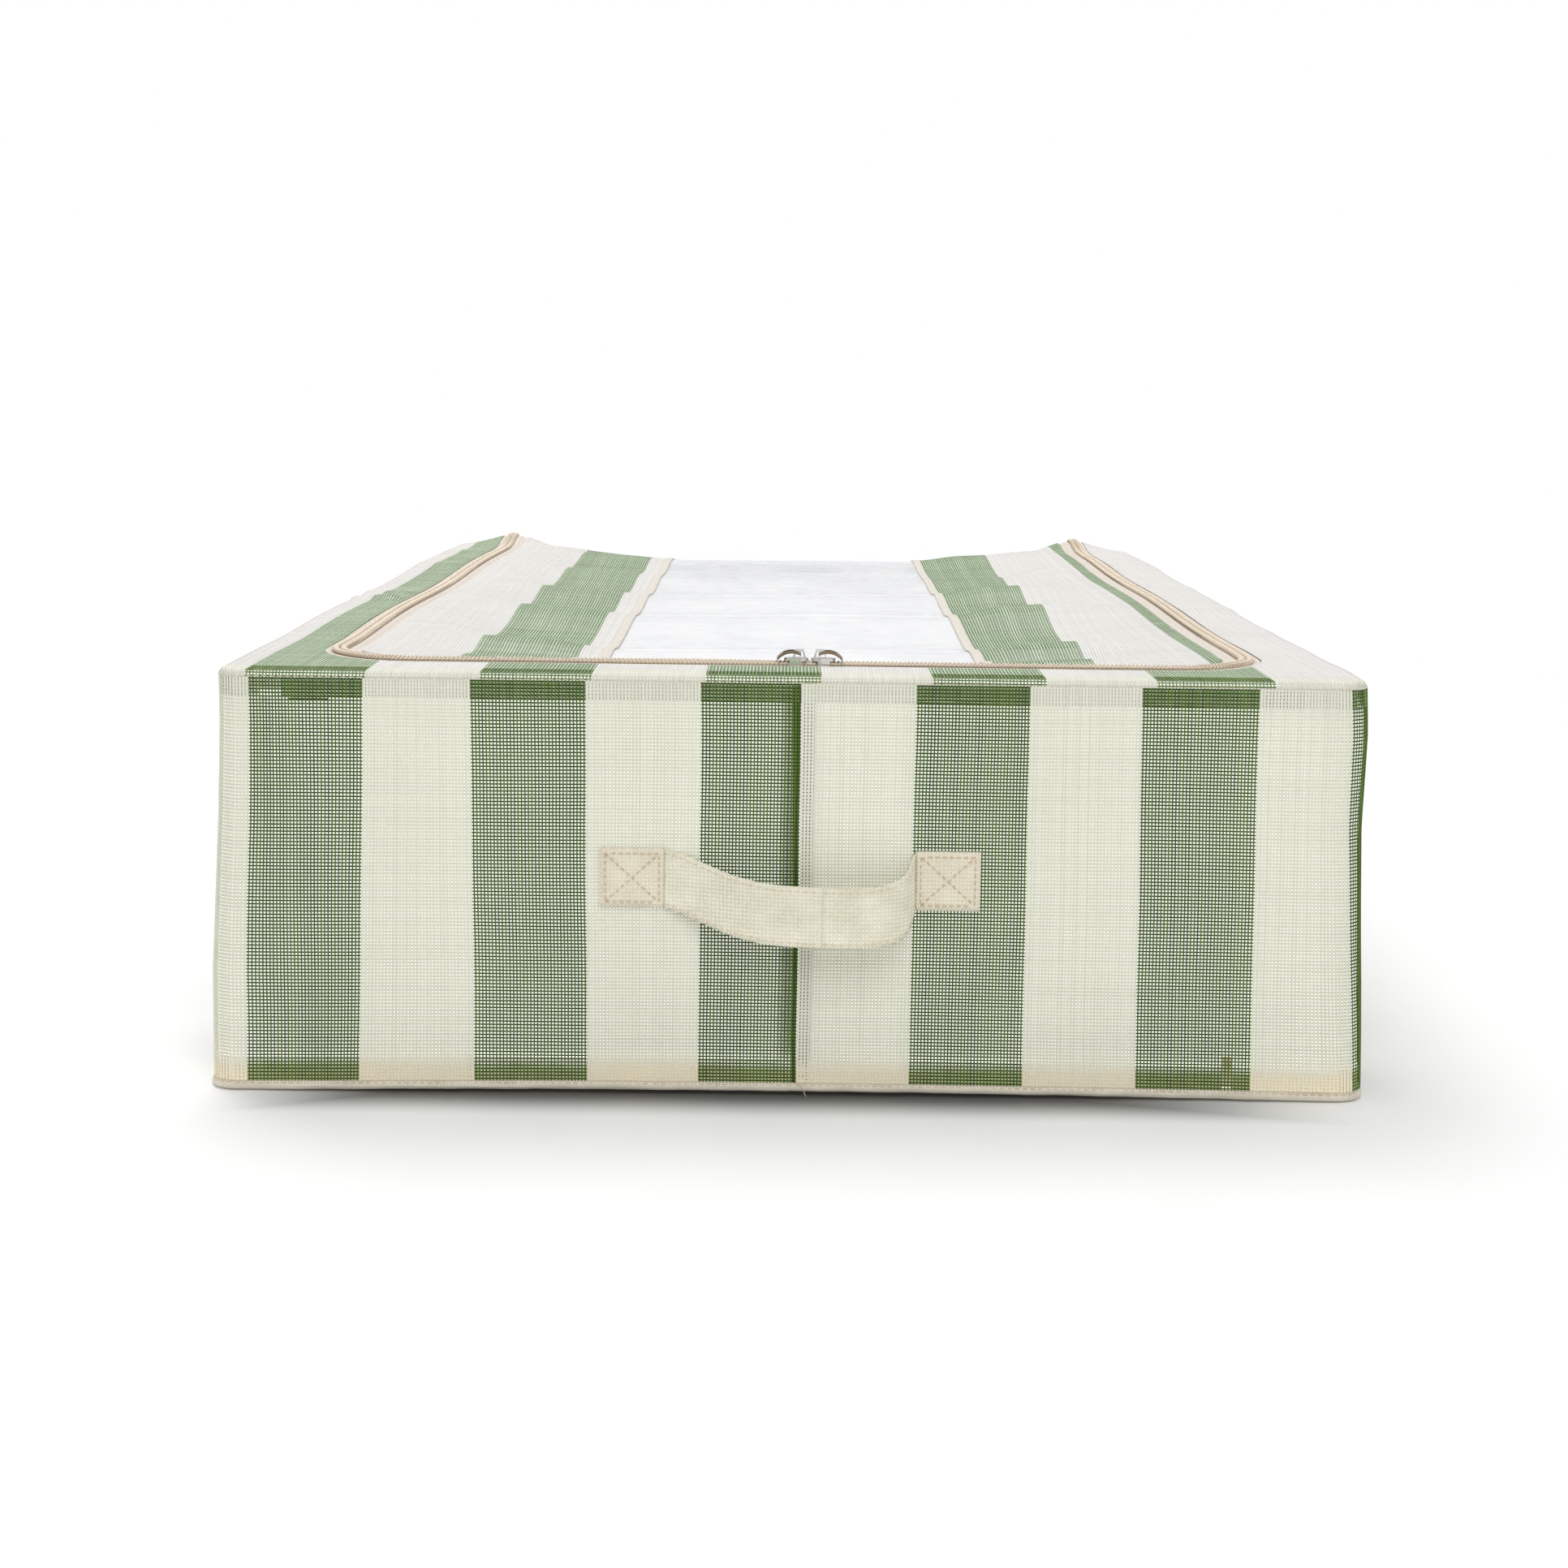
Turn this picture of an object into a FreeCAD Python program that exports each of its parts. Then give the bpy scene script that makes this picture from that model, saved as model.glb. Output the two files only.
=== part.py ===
"""Under-bed storage box: striped mesh walls over stiff boards, a zipped lid with a window, a pull strap.

Millimetres. X runs to the right, Y to the back, Z up. The origin is the centre of the underside.
"""

import FreeCAD, Part
import os

import Sketcher
from FreeCAD import Placement, Rotation, Vector

# Driving dimensions: (alias, millimetres, what it is)
SIZES = (
    ("width", 500.0, "outside width"),
    ("depth", 800.0, "outside depth, front to back"),
    ("height", 187.0, "top of the border fabric"),
    ("corner", 12.0, "outside corner radius of the walls"),
    ("cloth", 0.8, "thickness of the mesh cloth"),
    ("gap", 0.1, "clearance between neighbouring layers"),
    ("sheet_thin", 0.5, "thickness of lining and turned-up hems"),
    ("rim", 6.0, "height of the base panel's turned-up rim"),
    ("rim_wall", 1.0, "thickness of the base panel"),
    ("hem_rise", 9.0, "height of the base hem and of the top seam allowance"),
    ("thread", 0.4, "thickness of sewing thread"),
    ("label_thick", 0.3, "thickness of the sewn-in tab"),
    ("board", 2.5, "thickness of the wall boards"),
    ("base_board_thick", 3.0, "thickness of the base board"),
    ("base_board_inset", 3.0, "base panel's edge to the base board"),
    ("board_inset", 20.0, "distance from a corner to a board's end"),
    ("seam_at", 2.5, "where the front and back seams stand, right of centre"),
    ("seam_turn", 7.0, "width of the seam allowance turned behind the left wall"),
    ("fold_gap", 7.0, "distance from the seam to the boards on its right"),
    ("border", 34.0, "width of the top border, outside edge to zip tape"),
    ("border_round", 47.0, "corner radius of the border's opening"),
    ("notch_width", 22.0, "width of the notches in the top seam allowance"),
    ("notch_at", 206.0, "centre to the near side of a notch"),
    ("tape_show", 7.0, "border edge to the middle of the zip chain"),
    ("tape_hide", 8.0, "tape sewn under the cloth"),
    ("tape_thick", 0.9, "thickness of the zip tape"),
    ("row_offset", 1.8, "middle of the chain to the middle of one coil row"),
    ("row_radius", 1.3, "radius of a coil row"),
    ("row_lift", 0.05, "gap between a coil row and its tape"),
    ("chain_stop", 20.0, "hinge seam to the ends of the chain"),
    ("stop_long", 5.0, "length of a zip end stop"),
    ("stop_wide", 4.0, "width of a zip end stop outward of the chain's middle"),
    ("stop_high", 3.0, "height of a zip end stop"),
    ("lid_edge", 11.0, "middle of the chain to the lid cloth's edge"),
    ("seam_slack", 1.0, "gap between the lid's back edge and the hinge seam"),
    ("window_width", 174.0, "clear width of the window"),
    ("window_depth", 650.0, "clear depth of the window"),
    ("window_round", 5.0, "corner radius of the window"),
    ("window_ahead", 4.0, "window centre, ahead of the box's centre"),
    ("binding", 5.0, "width of the window binding"),
    ("film", 0.4, "thickness of the window film"),
    ("hinge_tape_wide", 14.0, "width of the tape behind the hinge seam"),
    ("hinge_tape_thick", 0.6, "thickness of the tape behind the hinge seam"),
    ("meet_at", 7.6, "middle of the front to the place where the closed sliders meet, towards +X"),
    ("slider_gap", 0.5, "nose of a slider to the place where they meet"),
    ("slider_long", 11.0, "length of a slider body"),
    ("slider_wide", 8.6, "width of a slider body"),
    ("slider_taper", 1.3, "how much narrower each edge of the tail is"),
    ("slider_plate", 1.1, "thickness of the slider plates"),
    ("slider_clear", 0.2, "running clearance of a slider on chain and tape"),
    ("lip_long", 5.5, "length of the lips that hold the rows together"),
    ("web_long", 3.2, "length of the wedge between the two rows"),
    ("web_thick", 0.7, "thickness of lips and wedge"),
    ("web_back", 1.0, "nose of a slider to its wedge"),
    ("lip_clear", 0.5, "tape to the lower edge of a slider lip"),
    ("lip_ahead", 2.5, "tail of a slider to its lips"),
    ("crown_wide", 2.2, "width of the crown"),
    ("pivot_ahead", 1.5, "slider's middle to the pull's pivot, towards the nose"),
    ("pivot_rise", 1.9, "top of the slider's plate to the pull's pivot"),
    ("pull_long", 10.8, "pivot to the free end of a pull"),
    ("pull_wide", 7.6, "width of a pull"),
    ("pull_bar", 1.0, "thickness of a pull and of its pivot bar"),
    ("pull_side", 1.25, "width of the side bars of a pull"),
    ("pull_arch", 2.1, "rise of the arch of a pull"),
    ("pull_block", 3.0, "length of the flat end of a pull"),
    ("pull_tilt", 11.5, "degrees that a pull hangs below level at rest"),
    ("strap_wide", 26.0, "width of the handle webbing"),
    ("strap_thick", 1.6, "thickness of the handle webbing"),
    ("strap_foot", 85.5, "lower edge of the sewn strap ends"),
    ("strap_reach", 54.6, "centre to the inner edge of a sewn strap end"),
    ("strap_sewn", 28.0, "length of a sewn strap end"),
    ("strap_bulge", 20.0, "how far the middle of the strap stands out"),
    ("strap_droop", 12.5, "how far the middle of the strap hangs down"),
    ("stitch_inset", 2.5, "strap edge to the sewn frame"),
    ("label_at", 191.5, "centre to the near side of the sewn-in tab"),
    ("label_wide", 5.0, "width of the sewn-in tab"),
    ("label_high", 14.0, "height of the sewn-in tab"),
)

doc = FreeCAD.newDocument("under_bed_box")
sheet = doc.addObject("Spreadsheet::Sheet", "sizes")
for row, (alias, value, meaning) in enumerate(SIZES, start=1):
    sheet.set(f"A{row}", meaning)
    sheet.set(f"B{row}", str(value))
    sheet.setAlias(f"B{row}", alias)
doc.recompute()
SIZE = {alias: value for alias, value, _ in SIZES}

# Heights and offsets that several pieces share, as spreadsheet expressions
S = "sizes."
CLOTH_UNDER = f"({S}height - {S}cloth)"
TAPE_TOP = f"({CLOTH_UNDER} - {S}gap)"
TAPE_UNDER = f"({TAPE_TOP} - {S}tape_thick)"
ROW_MIDDLE = f"({TAPE_TOP} + {S}row_lift + {S}row_radius)"
COIL_TOP = f"({ROW_MIDDLE} + {S}row_radius)"
HEM_SKIN = f"({S}cloth + {S}gap)"
LABEL_SKIN = f"({HEM_SKIN} + {S}sheet_thin + {S}gap)"
BOARD_SKIN = f"({LABEL_SKIN} + {S}label_thick + {S}gap)"
LINING_SKIN = f"({BOARD_SKIN} + {S}board + {S}gap)"
BOARD_FOOT = f"({S}rim + 2 * {S}gap)"
BOARD_TOP = f"({S}height - {S}hem_rise - {S}gap)"
CHAIN_X = f"({S}width / 2 - {S}border - {S}tape_show)"
CHAIN_Y = f"({S}depth / 2 - {S}border - {S}tape_show)"
CHAIN_ROUND = f"({S}border_round - {S}tape_show)"
HINGE_Y = f"({S}depth / 2 - {S}border)"
LID_END = f"({HINGE_Y} - {S}seam_slack)"
CHAIN_END = f"({HINGE_Y} - {S}chain_stop)"
SLIDER_FLOOR = f"({TAPE_UNDER} - {S}slider_clear - {S}slider_plate)"
SLIDER_ROOF = f"({COIL_TOP} + {S}slider_clear)"
SLIDER_TOP = f"({SLIDER_ROOF} + {S}slider_plate)"
SLIDER_X = f"({S}slider_gap + {S}slider_long / 2)"
PATCH_BACK = f"({S}depth / 2 + 2 * {S}gap)"
FAR = 1000  # longer than the box, for cutting tools
QUARTER = 1.5707963267948966

parts = {}


def is_part(label, thing):
    """Names an object of the document as a finished sub-part."""
    thing.Label = label
    parts[label] = thing
    return thing


def bind(thing, **expressions):
    """Ties properties to spreadsheet expressions. A double underscore in a name stands for a dot."""
    for prop, expression in expressions.items():
        thing.setExpression(prop.replace("__", "."), str(expression))
    return thing


def block(name, size, place):
    """A Part::Box whose three sizes and lowest corner are bound to the sheet."""
    thing = doc.addObject("Part::Box", name)
    bind(thing, Length=size[0], Width=size[1], Height=size[2])
    return bind(thing, Placement__Base__x=place[0], Placement__Base__y=place[1], Placement__Base__z=place[2])


def boolean(kind, name, base, tool):
    thing = doc.addObject(f"Part::{kind}", name)
    thing.Base = base
    thing.Tool = tool
    return thing


def cylinder(name, radius, length, turn, place):
    """A Part::Cylinder that starts at place and runs along the turned Z axis."""
    thing = doc.addObject("Part::Cylinder", name)
    thing.Placement = Placement(Vector(0, 0, 0), turn)
    bind(thing, Radius=radius, Height=length)
    return bind(thing, Placement__Base__x=place[0], Placement__Base__y=place[1], Placement__Base__z=place[2])


def arc_radius(reach, rise):
    """Radius of the arc that spans 2 * reach and rises by rise."""
    return f"(({reach} ^ 2 + {rise} ^ 2) / (2 * {rise}))"


def arched_band(name, reach, rise, thick, start, length):
    """A band along Y between two equal arcs in XZ. Its upper face rises from half of thick at +-reach."""
    radius = arc_radius(reach, rise)
    along = Rotation(Vector(1, 0, 0), -90)
    centre = f"({rise} - {radius} + {thick} / 2)"
    upper = cylinder(f"{name}_upper", radius, length, along, (0, start, centre))
    lower = cylinder(f"{name}_lower", radius, length, along, (0, start, f"{centre} - {thick}"))
    return boolean("Cut", name, upper, lower)


def sketch_on(body, name, plane="XY_Plane", lift=None):
    """A sketch on one of the body's own origin planes, lifted along that plane's normal."""
    sketch = body.newObject("Sketcher::SketchObject", name)
    origin = next(feature for feature in body.Origin.OriginFeatures if feature.Role == plane)
    sketch.AttachmentSupport = [(origin, "")]
    sketch.MapMode = "FlatFace"
    if lift is not None:
        sketch.setExpression("AttachmentOffset.Base.z", str(lift))
    return sketch


def size_constraints(sketch, rows):
    """Adds driving constraints given as (name, constraint, expression)."""
    for name, constraint, expression in rows:
        sketch.renameConstraint(sketch.addConstraint(constraint), name)
        sketch.setExpression(f"Constraints.{name}", expression)


def pad_of(body, sketch, length, both_ways=False):
    """Pads a sketch and makes the pad the body's tip."""
    pad = body.newObject("PartDesign::Pad", f"{sketch.Name}_pad")
    pad.Profile = sketch
    pad.Midplane = both_ways
    bind(pad, Length=length)
    body.Tip = pad
    return pad


def rounded_rectangle(sketch, width, depth, radius, tag):
    """Four lines and four arcs about the sketch's origin, fully constrained to the given expressions."""
    x, y, r = 100.0, 150.0, 10.0
    first = sketch.GeometryCount
    sides = (
        ((x, r - y), (x, y - r), (x - r, y - r)),
        ((x - r, y), (r - x, y), (r - x, y - r)),
        ((-x, y - r), (-x, r - y), (r - x, r - y)),
        ((r - x, -y), (x - r, -y), (x - r, r - y)),
    )
    for side, (start, end, centre) in enumerate(sides):
        sketch.addGeometry(Part.LineSegment(Vector(*start, 0), Vector(*end, 0)))
        circle = Part.Circle(Vector(*centre, 0), Vector(0, 0, 1), r)
        sketch.addGeometry(Part.ArcOfCircle(circle, side * QUARTER, (side + 1) * QUARTER))
    for side in range(4):
        line, arc = first + 2 * side, first + 2 * side + 1
        following = first + (2 * side + 2) % 8
        sketch.addConstraint(Sketcher.Constraint("Tangent", line, 2, arc, 1))
        sketch.addConstraint(Sketcher.Constraint("Tangent", arc, 2, following, 1))
        sketch.addConstraint(Sketcher.Constraint("Horizontal" if side % 2 else "Vertical", line))
        if side:
            sketch.addConstraint(Sketcher.Constraint("Equal", first + 1, arc))
    sketch.addConstraint(Sketcher.Constraint("Symmetric", first + 1, 3, first + 5, 3, -1, 1))
    size_constraints(
        sketch,
        (
            (f"width_{tag}", Sketcher.Constraint("DistanceX", first + 4, 1, first, 2, 2 * x), width),
            (f"depth_{tag}", Sketcher.Constraint("DistanceY", first + 6, 2, first + 2, 1, 2 * y), depth),
            (f"radius_{tag}", Sketcher.Constraint("Radius", first + 1, r), radius),
        ),
    )


def plate(name, width, depth, radius, bottom, height, hole=None):
    """A padded rounded rectangle. hole is the (width, depth, radius) of a rounded opening in it."""
    body = doc.addObject("PartDesign::Body", name)
    sketch = sketch_on(body, f"{name}_outline", lift=bottom)
    rounded_rectangle(sketch, width, depth, radius, "outer")
    if hole:
        rounded_rectangle(sketch, *hole, "inner")
    pad_of(body, sketch, height)
    return body


def inset_outline(skin):
    """Width, depth and corner radius of the outside outline, moved in by skin."""
    return (f"{S}width - 2 * {skin}", f"{S}depth - 2 * {skin}", f"{S}corner - {skin}")


def band(name, skin, thickness, bottom, height):
    """A ring that follows the outside walls, skin millimetres in from them."""
    return plate(name, *inset_outline(skin), bottom, height, hole=inset_outline(f"({skin} + {thickness})"))


def right_of_seam(name, start):
    """A cutting block that keeps everything right of start."""
    return block(name, (FAR, FAR, FAR), (start, -FAR / 2, 0))


def left_of_seam(name, end):
    """A cutting block that keeps everything left of end."""
    return block(name, (f"{FAR} + {end}", FAR, FAR), (-FAR, -FAR / 2, 0))


def without_back(name, base, end=LID_END):
    """Cuts away everything behind end."""
    tool = block(f"{name}_back", (FAR, FAR, FAR), (-FAR / 2, end, -FAR / 2))
    return boolean("Cut", name, base, tool)


def end_places(front_y, back_y):
    """The two end walls' names with the y where a piece starts in each."""
    return (("front", front_y), ("back", back_y))


# ---------------------------------------------------------------- base
def make_base():
    """The canvas tray under the box, its turned-up hem, the base board and the lining over it."""
    tray = plate("base_tray", *inset_outline("0"), 0, f"{S}rim")
    hollow = plate("base_hollow", *inset_outline(f"{S}rim_wall"), f"{S}rim_wall", f"{S}rim")
    is_part("base_panel", boolean("Cut", "base_panel", tray, hollow))
    is_part("base_hem", band("base_hem", HEM_SKIN, f"{S}sheet_thin", f"{S}rim + {S}gap", f"{S}hem_rise"))
    board_under = f"{S}rim_wall + {S}gap"
    board_outline = inset_outline(f"{S}base_board_inset")
    is_part("base_board", plate("base_board", *board_outline, board_under, f"{S}base_board_thick"))
    lining_under = f"{board_under} + {S}base_board_thick + {S}gap"
    lining_outline = inset_outline(f"({LINING_SKIN} + {S}sheet_thin)")
    is_part("base_lining", plate("base_lining", *lining_outline, lining_under, f"{S}sheet_thin"))


# ---------------------------------------------------------------- walls
def make_walls():
    """Two cloths that meet in the front and back seams. The left one's edge is turned behind itself."""
    foot = f"({S}rim + {S}gap)"
    rise = f"({TAPE_TOP} - {foot})"
    left_ring = band("wall_left_ring", "0", f"{S}cloth", foot, rise)
    cloth = boolean("Common", "wall_left_cloth", left_ring, left_of_seam("wall_left_half", f"{S}seam_at"))
    turn_foot = f"({foot} + {S}hem_rise + {S}gap)"
    turn_rise = f"({S}height - {S}hem_rise - {S}gap - {turn_foot})"
    inner_face = f"({S}depth / 2 - {S}cloth)"
    for end, y in end_places(f"-{inner_face} - {S}gap / 2", f"{inner_face} - {S}sheet_thin + {S}gap / 2"):
        turn_place = (f"{S}seam_at - {S}seam_turn", y, turn_foot)
        turn = block(f"seam_turn_{end}", (f"{S}seam_turn", f"{S}sheet_thin", turn_rise), turn_place)
        cloth = boolean("Fuse", f"wall_left_with_{end}", cloth, turn)
    is_part("wall_left", cloth)
    right_ring = band("wall_right_ring", "0", f"{S}cloth", foot, rise)
    right_half = right_of_seam("wall_right_half", f"{S}seam_at + {S}gap")
    is_part("wall_right", boolean("Common", "wall_right", right_ring, right_half))


def make_boards():
    """One stiff board in each side wall and two in each end wall, with a fold gap at the seam."""
    rise = f"({BOARD_TOP} - {BOARD_FOOT})"
    side_long = f"({S}depth - 2 * {S}board_inset)"
    far_side = f"{S}width / 2 - {BOARD_SKIN} - {S}board"
    for side, x in (("left", f"{BOARD_SKIN} - {S}width / 2"), ("right", far_side)):
        name = f"{side}_board"
        is_part(name, block(name, (f"{S}board", side_long, rise), (x, f"-{side_long} / 2", BOARD_FOOT)))
    outer = f"({S}width / 2 - {S}board_inset)"
    left_end = f"({S}seam_at - {S}seam_turn)"
    right_end = f"({S}seam_at + {S}fold_gap)"
    left_span = ("left", f"-{outer}", f"({left_end} + {outer})")
    right_span = ("right", right_end, f"({outer} - {right_end})")
    for end, y in end_places(f"{BOARD_SKIN} - {S}depth / 2", f"{S}depth / 2 - {BOARD_SKIN} - {S}board"):
        for side, x, length in (left_span, right_span):
            name = f"{end}_{side}_board"
            is_part(name, block(name, (length, f"{S}board", rise), (x, y, BOARD_FOOT)))


def make_linings():
    """White lining on the inside of the boards, in two halves that stop at the fold gaps."""
    foot = f"({S}rim + {S}gap)"
    halves = (
        ("left", left_of_seam("lining_left_half", f"({S}seam_at - {S}seam_turn)")),
        ("right", right_of_seam("lining_right_half", f"{S}seam_at + {S}fold_gap")),
    )
    for side, half in halves:
        ring = band(f"lining_{side}_ring", LINING_SKIN, f"{S}sheet_thin", foot, f"{BOARD_TOP} + 1 - {foot}")
        is_part(f"lining_{side}", boolean("Common", f"lining_{side}", ring, half))


def make_label():
    """A blank tab caught in the base seam, behind the front wall."""
    size = (f"{S}label_wide", f"{S}label_thick", f"{S}label_high")
    place = (f"{S}label_at", f"{LABEL_SKIN} - {S}depth / 2", f"{S}rim + {S}gap")
    is_part("blank_label", block("blank_label", size, place))


def make_seam_threads():
    """The thread that shows round the base seam and round the top edge."""
    skin = f"(-{S}thread - {S}gap / 2)"
    base_line = f"{S}rim - 3 * {S}thread"
    top_line = f"{TAPE_TOP} - 4 * {S}thread"
    is_part("base_seam_thread", band("base_seam_thread", skin, f"{S}thread", base_line, f"1.5 * {S}thread"))
    is_part("top_seam_thread", band("top_seam_thread", skin, f"{S}thread", top_line, f"1.5 * {S}thread"))


# ---------------------------------------------------------------- top border
def make_border():
    """The striped ring round the lid, with its seam allowance turned down behind the walls."""
    opening = (f"{S}width - 2 * {S}border", f"{S}depth", f"{S}border_round")
    tool = plate("border_opening", *opening, f"{CLOTH_UNDER} - 1", f"{S}cloth + 2")
    bind(tool, Placement__Base__y=f"{S}border")
    sheet_cloth = plate("border_sheet", *inset_outline("0"), CLOTH_UNDER, f"{S}cloth")
    ring = boolean("Cut", "border_ring", sheet_cloth, without_back("border_opening_front", tool, HINGE_Y))
    flange_foot = f"({S}height - {S}hem_rise)"
    flange_rise = f"{S}hem_rise - {S}cloth / 2"
    flange = band("border_flange", HEM_SKIN, f"{S}sheet_thin", flange_foot, flange_rise)
    reach = 5  # how deep a notch tool cuts in from outside the wall
    notch_rise = f"{S}hem_rise - 2 * {S}cloth + 1"
    for end, y in end_places(f"-{S}depth / 2 - 1", f"{S}depth / 2 - {reach} + 1"):
        for side, x in (("left", f"-{S}notch_at - {S}notch_width"), ("right", f"{S}notch_at")):
            notch_size = (f"{S}notch_width", reach, notch_rise)
            notch = block(f"notch_{end}_{side}", notch_size, (x, y, f"{flange_foot} - 1"))
            flange = boolean("Cut", f"flange_{end}_{side}", flange, notch)
    is_part("top_border", boolean("Fuse", "top_border", ring, flange))


# ---------------------------------------------------------------- zip
def tape(name, outward, inward):
    """A flat band from outward to inward of the chain's middle, open at the hinge."""
    outlines = []
    for shift in (outward, f"-{inward}"):
        wide = f"2 * ({CHAIN_X} + {shift})"
        long = f"2 * ({CHAIN_Y} + {shift} + {S}border)"
        outlines.append((wide, long, f"{CHAIN_ROUND} + {shift}"))
    ring = plate(f"{name}_ring", *outlines[0], TAPE_UNDER, f"{S}tape_thick", hole=outlines[1])
    bind(ring, Placement__Base__y=f"{S}border")
    is_part(name, without_back(name, ring))


def coil_row(name, sideways):
    """One coil row along the U-shaped chain, sideways millimetres outward of the chain's middle."""
    x = f"({CHAIN_X} + {sideways})"
    y = f"({CHAIN_Y} + {sideways})"
    turn = f"({CHAIN_ROUND} + {sideways})"
    back = Rotation(Vector(1, 0, 0), -90)
    across = Rotation(Vector(0, 1, 0), 90)
    corner_x, corner_y = f"({x} - {turn})", f"({turn} - {y})"
    side_long = f"({CHAIN_END} - {corner_y})"
    front_place = (f"-{corner_x}", f"-{y}", ROW_MIDDLE)
    row = [cylinder(f"{name}_front", f"{S}row_radius", f"2 * {corner_x}", across, front_place)]
    for side, sign, angle in (("left", "-", 180), ("right", "", 270)):
        side_place = (f"{sign}{x}", corner_y, ROW_MIDDLE)
        row.append(cylinder(f"{name}_{side}", f"{S}row_radius", side_long, back, side_place))
        bend = doc.addObject("Part::Torus", f"{name}_{side}_bend")
        bend.Angle3 = 90
        bend.Placement = Placement(Vector(0, 0, 0), Rotation(Vector(0, 0, 1), angle))
        bind(bend, Radius1=turn, Radius2=f"{S}row_radius")
        bind(bend, Placement__Base__x=f"{sign}{corner_x}", Placement__Base__y=corner_y)
        bind(bend, Placement__Base__z=ROW_MIDDLE)
        row.append(bend)
    fused = doc.addObject("Part::MultiFuse", name)
    fused.Shapes = row
    is_part(name, fused)


def make_zip():
    """Both tapes and both coil rows of the chain, and the stops where the chain ends at the back."""
    edge = f"(-({S}row_offset - {S}row_radius))"
    tape("zip_tape_outer", f"({S}tape_show + {S}tape_hide)", edge)
    tape("zip_tape_inner", edge, f"({S}lid_edge + {S}tape_hide)")
    coil_row("zip_coil_outer", f"{S}row_offset")
    coil_row("zip_coil_inner", f"(-{S}row_offset)")
    overhang = f"({S}row_offset - {S}row_radius - {S}gap)"
    stop_width = f"({S}stop_wide + {overhang})"
    for side, x in (("left", f"-{CHAIN_X} - {S}stop_wide"), ("right", f"{CHAIN_X} - {overhang}")):
        place = (x, f"{CHAIN_END} + {S}gap", f"{TAPE_TOP} + {S}gap")
        name = f"zip_stop_{side}"
        is_part(name, block(name, (stop_width, f"{S}stop_long", f"{S}stop_high"), place))


# ---------------------------------------------------------------- lid
def make_lid():
    """The striped lid cloth, the clear window sewn under it and the binding round the window."""
    window = (f"{S}window_width", f"{S}window_depth", f"{S}window_round")
    cloth_width = f"2 * ({CHAIN_X} - {S}lid_edge)"
    cloth_depth = f"2 * ({CHAIN_Y} - {S}lid_edge + {S}border)"
    cloth_round = f"{CHAIN_ROUND} - {S}lid_edge"
    cloth = plate("lid_cloth", cloth_width, cloth_depth, cloth_round, CLOTH_UNDER, f"{S}cloth")
    opening = plate("lid_opening", *window, f"{CLOTH_UNDER} - 1", f"{S}cloth + 2")
    film_under = f"{TAPE_TOP} - {S}film"
    film_outline = (f"{window[0]} + 2 * {S}tape_hide", f"{window[1]} + 2 * {S}tape_hide", window[2])
    film = plate("lid_window", *film_outline, film_under, f"{S}film")
    edging_outline = tuple(f"{size} + {count} * {S}binding" for size, count in zip(window, (2, 2, 1)))
    edging_under = f"{S}height + {S}gap / 2"
    edging = plate("window_binding", *edging_outline, edging_under, f"{S}sheet_thin", hole=window)
    bind(cloth, Placement__Base__y=f"{S}border")
    for thing in (opening, film, edging):
        bind(thing, Placement__Base__y=f"-{S}window_ahead")
    is_part("lid_panel", without_back("lid_panel", boolean("Cut", "lid_with_opening", cloth, opening)))
    is_part("lid_window", film)
    is_part("window_binding", edging)


def make_hinge_tape():
    """Tape under the seam where the lid cloth meets the back border."""
    length = f"(2 * ({CHAIN_X} - {S}lid_edge - {S}tape_hide - 1))"
    size = (length, f"{S}hinge_tape_wide", f"{S}hinge_tape_thick")
    place = (f"-{length} / 2", f"{HINGE_Y} - {S}hinge_tape_wide / 2", f"{TAPE_TOP} - {S}hinge_tape_thick")
    is_part("hinge_tape", block("hinge_tape", size, place))


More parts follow.
